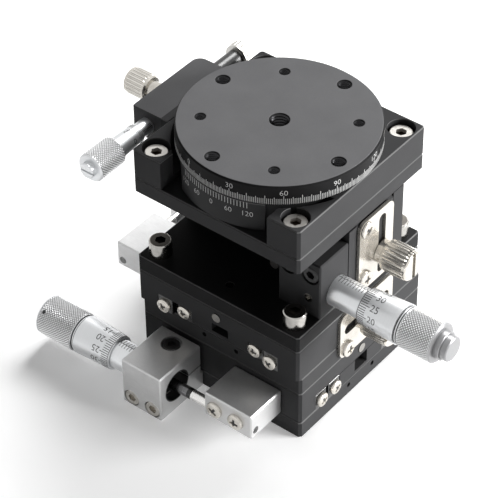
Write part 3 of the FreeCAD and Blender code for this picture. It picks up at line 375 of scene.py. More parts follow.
# painted shade: the deck is a darker copy of black anodised, shaded by the stages above it
shadedDeckFinish = blackAnodised("black anodised deck", 0.45)
pinShadeFinish = dullPins("pin steel painted shade", 33)
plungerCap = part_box("plunger_barrel")[1].y / mm - 3.5
aluminiumFinish = naturalAluminium()
# painted light: a brighter copy of natural aluminium for the Y blocks, which stand in strong light
litAluminiumFinish = naturalAluminium("aluminium painted light", 0.4, 1.3)
# painted light: chrome brightened by lift to bring up its highlights, the sleeves more than the thimbles
chromeFinish = [satinChrome("satin chrome " + letter, axis, None, 1.12) for axis, letter in enumerate("xyz")]
litSleeveFinish = [satinChrome("chrome painted light " + letter, axis, None, 1.25) for axis, letter in enumerate("xy")]
nickelFinish = brightNickel()
steelFinish = groundSteel()
screwFinish = blackSteel()
# painted shade: the threads in the table's holes are a near black copy of ground steel
shadedThreadFinish = groundSteel("cut thread", (0.012, 0.012, 0.013), (0.05, 0.05, 0.052))
# painted shade: the rail end faces are a darker copy of ground steel
shadedRailEndFinish = groundSteel("rail end", (0.07, 0.07, 0.07), (0.16, 0.16, 0.16))
blackInk = ink("black ink", (0.012, 0.012, 0.013))
whiteInk = ink("white ink", (0.46, 0.46, 0.455))
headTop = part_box("rotary_screws")[1].z / mm
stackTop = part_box("z_socket_screws")[0].z / mm
slotFinish = {"black_anodised": blackFinish, "natural_aluminium": aluminiumFinish, "satin_chrome": chromeFinish[0],
              "nickel": nickelFinish, "black_steel": screwFinish, "ground_steel": steelFinish}
nodeFinish = {
    "x_sleeve": litSleeveFinish[0], "y_sleeve": litSleeveFinish[1], "z_sleeve": litSleeveFinish[0], "y_thimble": chromeFinish[1],
    "fine_sleeve": chromeFinish[1], "fine_thimble": chromeFinish[1],
    "rotary_screws": darkSockets("rotary screws", headTop - 0.8, 0.6),
    "z_socket_screws": stackScrews("stack screws", 46.5, (-22.2, 0, 52.5)),
    "x_spring": springSteel("spring wire x", "X"), "y_spring": springSteel("spring wire y", "Y"),
    "z_spring": springSteel("spring wire z", "Z"),
    "rotary_table": litTableFinish, "vernier_plate": blackFinish,
    "plunger_barrel": plungerSteel("dark plunger", plungerCap),
    "x_spindle": spindleSteel("dark spindle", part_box("x_spindle")[1].x / mm),
    "x_mic_block": naturalAluminium("bored aluminium", 0.75, 1.0, (-42.3, 9.5, 5.4)),
    "fine_block": litFineBlockFinish, "z_base_plate": shadedDeckFinish,
    # painted shade on the z thimble's end, which faces the light
    "z_thimble": satinChrome("satin chrome z end", 0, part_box("z_thimble")[0].x / mm + 25.15, 1.12),
    "y_mic_block": litAluminiumFinish, "y_stop_block": litAluminiumFinish,
    "x_block_screws": blockScrews("x block screws", 1), "y_block_screws": blockScrews("y block screws", 0),
}
for entry in frame["record"]["subparts"]:
    mesh = frame["nodes"][entry["node"]].data
    finish = nodeFinish.get(entry["node"], slotFinish[entry["material_slot"]])
    for index in range(max(1, len(mesh.materials))):
        if index < len(mesh.materials):
            mesh.materials[index] = finish
        else:
            mesh.materials.append(finish)
bodyOf = {node: body for body, nodes in frame["record"]["behaviour"]["bodies"].items() for node in nodes}
print("stage finishes made")


# Where the round pieces lie: s runs along the axis, angles turn from up

def lie(origin, along, up=(0, 0, 1)):
    along = Vector(along)
    up = Vector(up)
    side = up.cross(along)
    turn = Matrix((along, side, up)).transposed().to_4x4()
    return Matrix.Translation(Vector(origin)) @ turn @ Matrix.Scale(mm, 4)


def roundLie(node, along, start):
    # the axis runs through the middle of the node's box, and s is 0 at its side start
    low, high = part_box(node)
    origin = (low + high) / 2
    axis = [abs(value) for value in along].index(1)
    origin[axis] = start * mm
    return lie(origin, along)


def placed(name, mesh, matrix, body, finish=None, smooth=True):
    if smooth:
        mesh.shade_smooth()
        mesh.set_sharp_from_angle(angle=math.radians(32))
    mesh.transform(matrix)
    if finish:
        mesh.materials.clear()
        mesh.materials.append(finish)
    piece = bpy.data.objects.new(name, mesh)
    scene.collection.objects.link(piece)
    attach(piece, body)
    return piece


def plainMesh(name, points, faces):
    mesh = bpy.data.meshes.new(name)
    mesh.from_pydata(points, [], faces)
    mesh.update()
    return mesh


def lathe(name, outline, around=48):
    # closed outline of (s, radius), turned about the axis
    points = []
    for s, radius in outline:
        for step in range(around):
            angle = 2 * math.pi * step / around
            points.append((s, radius * math.sin(angle), radius * math.cos(angle)))
    faces = []
    rows = len(outline)
    for row in range(rows):
        following = (row + 1) % rows
        for step in range(around):
            turn = (step + 1) % around
            faces.append((row * around + step, row * around + turn, following * around + turn,
                          following * around + step))
    mesh = plainMesh(name, points, faces)
    shaped = bmesh.new()
    shaped.from_mesh(mesh)
    bmesh.ops.remove_doubles(shaped, verts=shaped.verts, dist=1e-5)
    bmesh.ops.dissolve_degenerate(shaped, edges=shaped.edges, dist=1e-6)
    bmesh.ops.recalc_face_normals(shaped, faces=shaped.faces)
    shaped.to_mesh(mesh)
    shaped.free()
    return mesh


# Trees of Geometry Nodes, each with named inputs

class Tree:
    def __init__(self, name, inputs):
        self.group = bpy.data.node_groups.new(name, "GeometryNodeTree")
        self.group.interface.new_socket("Geometry", in_out="INPUT", socket_type="NodeSocketGeometry")
        self.group.interface.new_socket("Geometry", in_out="OUTPUT", socket_type="NodeSocketGeometry")
        for label, kind in inputs.items():
            self.group.interface.new_socket(label, in_out="INPUT", socket_type="NodeSocket" + kind)
        source = self.group.nodes.new("NodeGroupInput")
        self.wire = Wire(self.group)
        self.take = {socket.name: Wire(self.group, socket) for socket in source.outputs if socket.name}

    def end(self, geometry):
        realised = geometry.node("GeometryNodeRealizeInstances", inputs={0: geometry})
        coated = realised.node("GeometryNodeSetMaterial",
                               inputs={"Geometry": realised, "Material": self.take["Finish"]})
        target = self.group.nodes.new("NodeGroupOutput")
        coated.into(target.inputs[0])

    def run(self, name, base, values):
        # values go in by identifier before the first evaluation, and the result is a plain mesh
        carrier = bpy.data.objects.new(name, base)
        scene.collection.objects.link(carrier)
        modifier = carrier.modifiers.new("tree", "NODES")
        modifier.node_group = self.group
        for item in self.group.interface.items_tree:
            if item.in_out == "INPUT" and item.name in values:
                modifier[item.identifier] = values[item.name]
        evaluated = carrier.evaluated_get(bpy.context.evaluated_depsgraph_get())
        mesh = bpy.data.meshes.new_from_object(evaluated)
        carrier.modifiers.clear()
        bpy.data.objects.remove(carrier)
        return mesh


def emptyMesh():
    return bpy.data.meshes.new("points")


def knurlTree():
    tree = Tree("knurl", {"Radius": "Float", "Depth": "Float", "Start": "Float", "Length": "Float", "Around": "Int",
                          "Rows": "Int", "Crossed": "Float", "Finish": "Material"})
    take = tree.take
    wire = tree.wire
    grid = wire.node("GeometryNodeMeshGrid", inputs={
        "Size X": 1.0, "Size Y": 1.0, "Vertices X": take["Rows"] + 1, "Vertices Y": take["Around"] + 1})
    index = wire.node("GeometryNodeInputIndex")
    columns = take["Around"] + 1
    row = (index / columns).maths("FLOOR", index / columns)
    column = index - row * columns
    parity = wire.maths("FLOORED_MODULO", row * take["Crossed"] + column, 2.0)
    edge = wire.maths("MAXIMUM", row < 0.5, row > take["Rows"] - 0.5)
    low = wire.maths("MAXIMUM", parity, edge)
    radius = take["Radius"] - take["Depth"] * low
    angle = column / take["Around"] * (2 * math.pi)
    spot = wire.node("ShaderNodeCombineXYZ", inputs={
        0: take["Start"] + row / take["Rows"] * take["Length"],
        1: radius * angle.maths("SINE", angle), 2: radius * angle.maths("COSINE", angle)})
    shaped = wire.node("GeometryNodeSetPosition", inputs={"Geometry": grid, "Position": spot})
    marked = wire.node("GeometryNodeStoreNamedAttribute", {"data_type": "FLOAT", "domain": "POINT"},
                       {"Geometry": shaped, "Name": "groove", "Value": parity * 0.5 + 0.5})
    joined = wire.node("GeometryNodeMergeByDistance", inputs={"Geometry": marked, "Distance": 0.001})
    cut = wire.node("GeometryNodeTriangulate", {}, {"Mesh": joined})
    tree.end(cut)
    return tree


def tickTree():
    tree = Tree("ticks", {"Count": "Int", "First": "Float", "Step": "Float", "Radius": "Float", "Start": "Float",
                          "Length": "Float", "Fifth": "Float", "Tenth": "Float", "Offset": "Int", "Width": "Float",
                          "Thick": "Float", "Along": "Float", "Finish": "Material"})
    take = tree.take
    wire = tree.wire
    line = wire.node("GeometryNodeMeshLine", inputs={"Count": take["Count"]})
    index = wire.node("GeometryNodeInputIndex")
    number = index + take["Offset"]
    isFifth = wire.maths("FLOORED_MODULO", number, 5.0) < 0.5
    isTenth = wire.maths("FLOORED_MODULO", number, 10.0) < 0.5
    length = take["Length"] + isFifth * take["Fifth"] + isTenth * take["Tenth"]
    angle = take["First"] + index * take["Step"]
    spot = wire.node("ShaderNodeCombineXYZ", inputs={
        0: take["Start"] + length * 0.5 + index * take["Along"],
        1: take["Radius"] * angle.maths("SINE", angle), 2: take["Radius"] * angle.maths("COSINE", angle)})
    spread = wire.node("GeometryNodeSetPosition", inputs={"Geometry": line, "Position": spot})
    block = wire.node("GeometryNodeMeshCube", inputs={"Size": (1.0, 1.0, 1.0)})
    size = wire.node("ShaderNodeCombineXYZ", inputs={0: length, 1: take["Width"], 2: take["Thick"]})
    turn = wire.node("ShaderNodeCombineXYZ", inputs={0: angle * -1.0})
    many = wire.node("GeometryNodeInstanceOnPoints",
                     inputs={"Points": spread, "Instance": block, "Rotation": turn, "Scale": size})
    tree.end(many)
    return tree


def standTree():
    # stands a template on every point, its axis along the point's towards
    tree = Tree("stood", {"Template": "Object", "Seed": "Int", "Spin": "Float", "Finish": "Material"})
    take = tree.take
    wire = tree.wire
    info = wire.node("GeometryNodeObjectInfo", {"transform_space": "ORIGINAL"}, {"Object": take["Template"]}, "Geometry")
    towards = wire.node("GeometryNodeInputNamedAttribute", {"data_type": "FLOAT_VECTOR"}, {"Name": "towards"})
    aim = wire.node("FunctionNodeAlignRotationToVector", {"axis": "Z"}, {"Vector": towards})
    random = wire.node("FunctionNodeRandomValue", {"data_type": "FLOAT"},
                       {"Min": 0.0, "Max": take["Spin"], "Seed": take["Seed"]}, 1)
    spun = wire.node("ShaderNodeCombineXYZ", inputs={2: random})
    twist = wire.node("FunctionNodeRotateRotation", {"rotation_space": "LOCAL"}, {0: aim, 1: spun})
    many = wire.node("GeometryNodeInstanceOnPoints",
                     inputs={"Points": take["Geometry"], "Instance": info, "Rotation": twist})
    tree.end(many)
    return tree


knurls = knurlTree()
ticks = tickTree()
stood = standTree()


def pointMesh(spots):
    mesh = bpy.data.meshes.new("spots")
    mesh.from_pydata([spot for spot, towards in spots], [], [])
    stored = mesh.attributes.new("towards", "FLOAT_VECTOR", "POINT")
    for index, (spot, towards) in enumerate(spots):
        stored.data[index].vector = towards
    return mesh


def standOn(name, template, spots, body, finish, spin=0.0, seed=3):
    holder = bpy.data.objects.new("template", template)
    scene.collection.objects.link(holder)
    mesh = stood.run(name, pointMesh(spots), {"Template": holder, "Seed": seed, "Spin": spin, "Finish": finish})
    bpy.data.objects.remove(holder)
    return placed(name, mesh, Matrix.Identity(4), body)


def coned(mesh, radiusAt):
    # lifts a mesh from the axis so that its middle surface follows the radius at each s
    for vertex in mesh.vertices:
        s, side, up = vertex.co
        reach = math.hypot(side, up)
        if reach > 0:
            grow = (reach + radiusAt(s)) / reach
            vertex.co = (s, side * grow, up * grow)
    return mesh


def words(text, height, turn=0.0, narrow=1.0, thin=0.0):
    curve = bpy.data.curves.new("words", "FONT")
    curve.offset = -thin
    curve.body = text
    curve.size = height / 0.7
    curve.align_x = "CENTER"
    curve.align_y = "CENTER"
    curve.resolution_u = 3
    holder = bpy.data.objects.new("words", curve)
    scene.collection.objects.link(holder)
    mesh = bpy.data.meshes.new_from_object(holder.evaluated_get(bpy.context.evaluated_depsgraph_get()))
    bpy.data.objects.remove(holder)
    mesh.transform(Matrix.Rotation(math.radians(turn), 4, "Z") @ Matrix.Diagonal((narrow, 1, 1, 1)))
    shaped = bmesh.new()
    shaped.from_mesh(mesh)
    bmesh.ops.triangulate(shaped, faces=shaped.faces)
    for again in range(2):
        long = [edge for edge in shaped.edges if edge.calc_length() > 0.45]
        bmesh.ops.subdivide_edges(shaped, edges=long, cuts=1)
        bmesh.ops.triangulate(shaped, faces=shaped.faces)
    shaped.to_mesh(mesh)
    shaped.free()
    return mesh


def wrapped(mesh, s, angle, radiusAt, proud=0.02):
    # flat words laid round the axis at s and angle
    for vertex in mesh.vertices:
        along = s + vertex.co.x
        radius = radiusAt(along) + proud
        turn = math.radians(angle) + vertex.co.y / radiusAt(s)
        vertex.co = (along, radius * math.sin(turn), radius * math.cos(turn))
    shaped = bmesh.new()
    shaped.from_mesh(mesh)
    for face in shaped.faces:
        middle = face.calc_center_median()
        if face.normal.dot(Vector((0, middle.y, middle.z))) < 0:
            face.normal_flip()
    shaped.to_mesh(mesh)
    shaped.free()
    return mesh


def merged(name, meshes):
    shaped = bmesh.new()
    for mesh in meshes:
        shaped.from_mesh(mesh)
    whole = bpy.data.meshes.new(name)
    shaped.to_mesh(whole)
    shaped.free()
    return whole


boxFaces = [(3, 2, 1, 0), (4, 5, 6, 7), (0, 1, 5, 4), (1, 2, 6, 5), (2, 3, 7, 6), (3, 0, 4, 7)]


def carved(mesh, tools):
    # the mesh with all the tools' shapes taken out of it
    things = []
    for part in [mesh] + tools:
        thing = bpy.data.objects.new("carved", part)
        scene.collection.objects.link(thing)
        things.append(thing)
    for tool in things[1:]:
        cut = things[0].modifiers.new("cut", "BOOLEAN")
        cut.operation = "DIFFERENCE"
        cut.object = tool
        cut.solver = "EXACT"
    done = bpy.data.meshes.new_from_object(things[0].evaluated_get(bpy.context.evaluated_depsgraph_get()))
    for thing in things:
        bpy.data.objects.remove(thing)
    return done


def boxMesh(low, high):
    corners = [(x, y, z) for z in (low[2], high[2]) for x, y in ((low[0], low[1]), (high[0], low[1]),
                                                                 (high[0], high[1]), (low[0], high[1]))]
    return plainMesh("box", corners, boxFaces)


# Micrometer thimbles and sleeves

bigThimble = {"coneFront": 5.6, "coneBack": 6.3, "cone": 13.5, "knurlStart": 14.9, "knurlLong": 13.2, "knurl": 6.5,
              "depth": 0.34, "around": 84, "rows": 28, "tickStart": 0.45, "tickLong": 2.3, "fifth": 0.9,
              "textAt": 5.15, "textHigh": 2.1}
bigThimble["shell"] = [(0, 4.87), (0, 5.42), (0.18, 5.6), (13.5, 6.3), (13.5, 5.9), (14.7, 5.9), (14.7, 6.12),
                       (28.0, 6.12), (28.1, 6.35), (28.25, 6.35), (28.7, 5.9), (28.7, 4.3), (28.2, 4.1), (28.2, 0),
                       (20.0, 0), (20.0, 4.87)]
zThimble = dict(bigThimble, coneFront=5.5, cone=13.1, knurlStart=14.5, knurlLong=10.6, knurl=6.4, rows=22, textAt=5.4)
zThimble["shell"] = [(0, 4.87), (0, 5.32), (0.18, 5.5), (13.1, 6.3), (13.1, 5.9), (14.3, 5.9), (14.3, 6.02),
                     (25.0, 6.02), (25.1, 6.3), (25.25, 6.3), (25.7, 5.9), (25.7, 4.5), (27.4, 4.5), (27.6, 4.3),
                     (27.6, 3.9), (29.4, 3.9), (29.7, 3.6), (29.7, 0), (20.0, 0), (20.0, 4.87)]
fineThimble = {"coneFront": 3.0, "coneBack": 3.3, "cone": 9.9, "knurlStart": 10.1, "knurlLong": 10.0, "knurl": 4.65,
               "depth": 0.28, "around": 60, "rows": 22, "tickStart": 0.3, "tickLong": 1.5, "fifth": 0.6,
               "textAt": 4.0, "textHigh": 1.7}
fineThimble["shell"] = [(0, 2.62), (0, 2.85), (0.15, 3.0), (9.9, 3.3), (9.9, 4.1), (10.1, 4.33), (20.1, 4.33),
                        (20.2, 4.5), (20.6, 4.1), (20.6, 2.5), (22.0, 2.5), (22.2, 2.3), (22.2, 0), (12.0, 0),
                        (12.0, 2.62)]
fineThimble["cut"] = ((21.7, -3.0, -0.35), (22.5, 3.0, 0.35))


def thimbleScale(axis, node, matrix, form, zeroAngle, divisions=50, textEvery=5):
    body = bodyOf[node]
    slope = (form["coneBack"] - form["coneFront"]) / form["cone"]

    def radiusAt(s):
        return form["coneFront"] + slope * s

    turned = lathe(axis + "_shell", form["shell"], 96)
    if "cut" in form:
        turned = carved(turned, [boxMesh(*form["cut"])])
    shell = placed(axis + "_thimble_shell", turned, matrix, body, frame["nodes"][node].data.materials[0])
    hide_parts(node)
    grip = knurls.run(axis + "_grip", emptyMesh(), {
        "Radius": form["knurl"], "Depth": form["depth"], "Start": form["knurlStart"], "Length": form["knurlLong"],
        "Around": form["around"], "Rows": form["rows"], "Crossed": 1.0, "Finish": chromeFinish[0]})
    grip.materials.clear()
    placed(axis + "_thimble_knurl", grip, matrix, body, frame["nodes"][node].data.materials[0], False)
    step = 2 * math.pi / divisions
    marks = ticks.run(axis + "_marks", emptyMesh(), {
        "Count": divisions, "First": math.radians(zeroAngle), "Step": step, "Radius": form["coneFront"],
        "Start": form["tickStart"], "Length": form["tickLong"], "Fifth": form["fifth"], "Tenth": 0.0, "Offset": 0,
        "Width": 0.19 * form["coneFront"] / 5.5, "Thick": 0.04, "Along": 0.0, "Finish": blackInk})
    coned(marks, lambda s: radiusAt(s) - form["coneFront"])
    meshes = [marks]
    for number in range(0, divisions, textEvery):
        flat = words(str(number), form["textHigh"], 0, 1.0, 0.02)
        meshes.append(wrapped(flat, form["textAt"], zeroAngle + number * 360 / divisions, radiusAt))
    if axis == "x":
        spot = [(0.55 * math.cos(k * math.pi / 8), 0.55 * math.sin(k * math.pi / 8), 0) for k in range(16)]
        meshes.append(wrapped(plainMesh("spot", spot, [tuple(range(16))]), 26.6, 41, lambda s: form["knurl"]))
    placed(axis + "_thimble_numbers", merged(axis + "_numbers", meshes), matrix, body, blackInk,
           smooth=False)


def sleeveScale(axis, node, matrix, radius, lineAngle, shown, numberAngle, side=-1, label="5"):
    # the axial line, whole millimetres on one side and halves on the other
    body = bodyOf[node]
    line = ticks.run(axis + "_line", emptyMesh(), {
        "Count": 1, "First": math.radians(lineAngle), "Step": 0.0, "Radius": radius, "Start": 0.2,
        "Length": shown - 0.2, "Fifth": 0.0, "Tenth": 0.0, "Offset": 1, "Width": 0.18, "Thick": 0.04, "Along": 0.0,
        "Finish": blackInk})
    meshes = [line]
    pitch = 0.5 if radius > 4 else 0.25
    long = 2.0 if radius > 4 else 1.0
    for half, sign in ((0, side), (1, -side)):
        for count in range(int(shown / (2 * pitch))):
            s = shown - 0.45 - (2 * count + half) * pitch
            if s < 0.35:
                continue
            reach = (long if half == 0 else long * 0.75) / radius
            for part in range(5):
                middle = math.radians(lineAngle) + sign * reach * (part + 0.5) / 5
                flat = plainMesh("mark", [(-0.09, -reach * radius / 9.6, 0), (0.09, -reach * radius / 9.6, 0),
                                          (0.09, reach * radius / 9.6, 0), (-0.09, reach * radius / 9.6, 0)],
                                 [(0, 1, 2, 3)])
                meshes.append(wrapped(flat, s, math.degrees(middle), lambda s: radius))
    if label:
        meshes.append(wrapped(words(label, 1.9), 0.9, numberAngle, lambda s: radius))
    placed(axis + "_sleeve_marks", merged(axis + "_sleeve_marks", meshes), matrix, body, blackInk,
           smooth=False)


def bandMesh(name, start, long, radius, thick=0.03):
    return lathe(name, [(start, radius - 0.2), (start, radius + thick), (start + long, radius + thick),
                        (start + long, radius - 0.2)], 72)


xLie = roundLie("x_thimble", (-1, 0, 0), -29.3)
yLie = roundLie("y_thimble", (0, 1, 0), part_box("y_thimble")[0].y / mm)
zLie = roundLie("z_thimble", (1, 0, 0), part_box("z_thimble")[0].x / mm)
fineLie = roundLie("fine_thimble", (0, -1, 0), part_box("fine_thimble")[1].y / mm)
print("thimble fronts:", [tuple(round(v / mm, 2) for v in matrix.translation) for matrix in (xLie, yLie, zLie, fineLie)])
thimbleScale("x", "x_thimble", xLie, bigThimble, 23 - 144)
thimbleScale("y", "y_thimble", yLie, bigThimble, -10)
thimbleScale("z", "z_thimble", zLie, zThimble, -8 - 216)
thimbleScale("fine", "fine_thimble", fineLie, fineThimble, 71, 50, 10)
# black bands on each thimble: a thin line near the cone's front edge, and painted shade at both ends of the groove
# between the cone and the grip
for axis, matrix, node, form in (("x", xLie, "x_thimble", bigThimble), ("y", yLie, "y_thimble", bigThimble),
                                 ("z", zLie, "z_thimble", zThimble)):
    edges = merged("edges", [bandMesh("edge", 0.2, 0.16, form["coneFront"], 0.03),
                             bandMesh("edge", form["cone"] + 0.05, 0.35, form["coneBack"] - 0.4, 0.06),
                             bandMesh("edge", form["cone"] + 0.8, 0.35, form["coneBack"] - 0.4, 0.06)])
    placed(axis + "_groove_line", edges, matrix, bodyOf[node], blackInk)


def shifted(matrix, s):
    return matrix @ Matrix.Translation((s, 0, 0))


sleeveScale("x", "x_sleeve", shifted(xLie, -7.5), 4.75, -3, 7.5, 26)
sleeveScale("y", "y_sleeve", shifted(yLie, -7.5), 4.75, -3, 7.5, 26)
sleeveScale("z", "z_sleeve", shifted(zLie, -10.8), 4.75, 12, 10.8, 40)
sleeveScale("fine", "fine_sleeve", shifted(fineLie, -4.8), 2.5, 60, 4.8, 90, label="")
print("micrometers dressed")


# Knurled lock knobs and the clamp knob: straight grooves over the CAD grip

lockGrip = {"radius": 4.72, "depth": 0.34, "around": 56, "start": 0.3, "long": 8.9}
clampGrip = {"radius": 4.02, "depth": 0.28, "around": 44, "start": 0.45, "long": 7.1}
plungerGrip = {"radius": 4.0, "depth": 0.2, "around": 44, "start": 0.15, "long": 3.2}


def straightGrip(name, node, along, start, form):
    matrix = roundLie(node, along, start)
    mesh = knurls.run(name, emptyMesh(), {
        "Radius": form["radius"] + form["depth"] * 0.6, "Depth": form["depth"], "Start": form["start"],
        "Length": form["long"], "Around": form["around"], "Rows": 8, "Crossed": 0.0, "Finish": nickelFinish})
    placed(name, mesh, matrix, bodyOf[node], smooth=False)


straightGrip("x_lock_grip", "x_lock_knob", (0, 1, 0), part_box("x_lock_knob")[1].y / mm - 9.5, lockGrip)
straightGrip("y_lock_grip", "y_lock_knob", (1, 0, 0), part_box("y_lock_knob")[1].x / mm - 9.5, lockGrip)
straightGrip("z_lock_grip", "z_lock_knob", (1, 0, 0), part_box("z_lock_knob")[1].x / mm - 9.5, lockGrip)
straightGrip("clamp_grip", "clamp_knob", (-1, 0, 0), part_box("clamp_knob")[0].x / mm + 8, clampGrip)
straightGrip("plunger_grip", "plunger_barrel", (0, 1, 0), plungerCap, plungerGrip)
print("knobs knurled")


# Pan screws with cross recesses, in place of the CAD's plain heads

panScrew = {"radius": 2.7, "high": 1.3, "rim": 0.65, "top": 1.62, "slotLong": 3.6, "slotWide": 0.95, "deep": 0.9,
            "shank": 1.5}


railScrew = dict(panScrew, radius=2.38, top=1.4, slotLong=3.0, slotWide=0.8)
railEnd = {"at": 28.0, "lift": 2.02, "pad": 1.93, "wide": 5.3, "gap": 0.05, "bevel": 0.25}


def railPad(spot, towards, rail):
    # the rail's end face, brought up under the screw head inside its recess
    low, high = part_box(rail)
    axis = [abs(round(value)) for value in towards].index(1)
    across = 1 - axis
    near = spot - towards * railEnd["lift"] * mm
    corners = []
    for step, edge in ((railEnd["gap"], 0.0), (railEnd["pad"] - railEnd["bevel"], 0.0),
                       (railEnd["pad"], railEnd["bevel"])):
        for a, b in ((-1, -1), (1, -1), (1, 1), (-1, 1)):
            point = Vector((0, 0, 0))
            point[axis] = near[axis] + towards[axis] * step * mm
            point[across] = near[across] + a * (railEnd["wide"] / 2 - edge) * mm
            point[2] = (low.z + edge * mm) if b < 0 else (high.z - edge * mm)
            corners.append(point)
    faces = [(3, 2, 1, 0), (8, 9, 10, 11)]
    for row in (0, 4):
        faces += [(row + k, row + (k + 1) % 4, row + 4 + (k + 1) % 4, row + 4 + k) for k in range(4)]
    mesh = plainMesh("rail end", corners, faces)
    shaped = bmesh.new()
    shaped.from_mesh(mesh)
    bmesh.ops.recalc_face_normals(shaped, faces=shaped.faces)
    shaped.to_mesh(mesh)
    shaped.free()
    return mesh


def crossHead(form):
    # s runs up along the screw's axis, the head's seat at 0
    outline = [(-3.0, 0.0), (-3.0, form["shank"]), (0.0, form["shank"]), (0.0, form["radius"]),
               (form["rim"], form["radius"]), (form["rim"] + 0.3, form["radius"] - 0.16),
               (form["high"] - 0.12, form["top"] + 0.42), (form["high"], form["top"]), (form["high"], 0.0)]
    mesh = lathe("pan head", outline, 32)
    mesh.transform(Matrix.Rotation(math.radians(-90), 4, "Y"))
    blades = []
    for quarter in range(2):
        top = form["high"] + 0.3
        low = form["high"] - form["deep"]
        reach = form["slotLong"] / 2
        wide = form["slotWide"] / 2
        corners = [(x * reach * (1.0 if z == top else 0.45), y * wide * (1.0 if z == top else 0.6), z)
                   for z in (low, top) for x, y in ((-1, -1), (1, -1), (1, 1), (-1, 1))]
        blade = plainMesh("blade", corners, boxFaces)
        blade.transform(Matrix.Rotation(math.radians(90 * quarter + 0.7), 4, "Z"))
        blades.append(blade)
    done = carved(mesh, blades)
    done.transform(Matrix.Scale(mm, 4))
    return done


def crossFloor(form):
    # painted shade in the cross recess: two dark bars just above its floor
    long = form["slotLong"] * 0.34
    wide = form["slotWide"] * 0.37
    z = form["high"] - 0.35
    points = [(-long, -wide, z), (long, -wide, z), (long, wide, z), (-long, wide, z),
              (-wide, -long, z + 0.01), (wide, -long, z + 0.01), (wide, long, z + 0.01), (-wide, long, z + 0.01)]
    mesh = plainMesh("cross recess shade", points, [(0, 1, 2, 3), (4, 5, 6, 7)])
    mesh.transform(Matrix.Rotation(math.radians(0.7), 4, "Z"))
    mesh.transform(Matrix.Scale(mm, 4))
    return mesh


def islands(mesh):
    # points and faces alone, because the solid's own normals would not suit a changed shape
    bare = plainMesh("bare", [vertex.co for vertex in mesh.vertices],
                     [tuple(face.vertices) for face in mesh.polygons])
    shaped = bmesh.new()
    shaped.from_mesh(bare)
    bmesh.ops.remove_doubles(shaped, verts=shaped.verts, dist=1e-7)
    shaped.verts.index_update()
    shaped.verts.ensure_lookup_table()
    seen = set()
    found = []
    for vertex in shaped.verts:
        if vertex.index in seen:
            continue
        seen.add(vertex.index)
        group = [vertex]
        for member in group:
            for edge in member.link_edges:
                other = edge.other_vert(member)
                if other.index not in seen:
                    seen.add(other.index)
                    group.append(other)
        found.append(group)
    return shaped, found


def panPlace(group, centre):
    # the seat and outward direction of a pan screw, or nothing for another piece
    low = Vector([min(vertex.co[axis] for vertex in group) for axis in range(3)])
    high = Vector([max(vertex.co[axis] for vertex in group) for axis in range(3)])
    size = (high - low) / mm
    across = [axis for axis in range(3) if abs(size[axis] - 2 * panScrew["radius"]) < 0.08]
    if len(across) != 2:
        return None
    axis = 3 - sum(across)
    middle = (low + high) / 2
    wide = [vertex.co[axis] for vertex in group
            if (Vector([vertex.co[a] - middle[a] if a != axis else 0 for a in range(3)])).length > 2.4 * mm]
    towards = Vector((0, 0, 0))
    outer = sum(wide) / len(wide) > middle[axis]
    towards[axis] = 1 if outer else -1
    seat = middle.copy()
    seat[axis] = (high[axis] if outer else low[axis]) - towards[axis] * panScrew["high"] * mm
    lift = railEnd["lift"] if abs(abs(seat[axis] - centre[axis]) - railEnd["at"] * mm) < 0.3 * mm else 0.0
    return seat + towards * lift * mm, towards, lift


templates = {"pan": (crossHead(panScrew), crossFloor(panScrew)), "rail": (crossHead(railScrew), crossFloor(railScrew))}
for order, node in enumerate(["x_base_fasteners", "y_base_fasteners", "x_table_fasteners", "y_table_fasteners",
                              "z_fixed_fasteners"]):
    shaped, groups = islands(frame["nodes"][node].data)
    spots = {"pan": [], "rail": []}
    gone = []
    pads = []
    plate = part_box(node.replace("z_fixed", "z_base_plate").replace("_fasteners", ""))
    for group in groups:
        spot = panPlace(group, (plate[0] + plate[1]) / 2)
        if spot:
            spots["rail" if spot[2] else "pan"].append(spot[:2])
            gone += group
            if spot[2]:
                pads.append(railPad(*spot[:2], node.replace("base_fasteners", "fixed_rails").replace(
                    "table_fasteners", "moving_rails")))
    bmesh.ops.delete(shaped, geom=gone, context="VERTS")
    rest = bpy.data.meshes.new(node + "_rest")
    shaped.to_mesh(rest)
    shaped.free()
    others = placed(node + "_others", rest, Matrix.Identity(4), bodyOf[node], pinShadeFinish)
    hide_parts(node)
    for kind, (template, recessShade) in templates.items():
        if spots[kind]:
            standOn(node + "_" + kind + "_screws", template, spots[kind], bodyOf[node], nickelFinish, 6.28,
                    order + 4)
            # painted shade in the cross recesses
            standOn(node + "_" + kind + "_crosses", recessShade, spots[kind], bodyOf[node], blackInk, 6.28,
                    order + 4)
    if pads:
        placed(node + "_rail_ends", merged("rail ends", pads), Matrix.Identity(4), bodyOf[node], shadedRailEndFinish,
               False)
    print(node, "pan", len(spots["pan"]), "rail", len(spots["rail"]))


# Turning table: degree ticks and numbers on its rim, vernier below, threads in its holes

rim = {"radius": 30.0, "low": 81.8, "tick": 1.95, "fifth": 0.45, "tenth": 0.5, "text": 1.75, "textAt": 3.95,
       "vernierMiddle": -92, "vernierStep": 11.1, "vernierText": 4.25}
tableLow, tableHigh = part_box("rotary_table")
tableLie = lie((0, (tableLow.y + tableHigh.y) / 2, rim["low"] * mm), (0, 0, 1), (1, 0, 0))


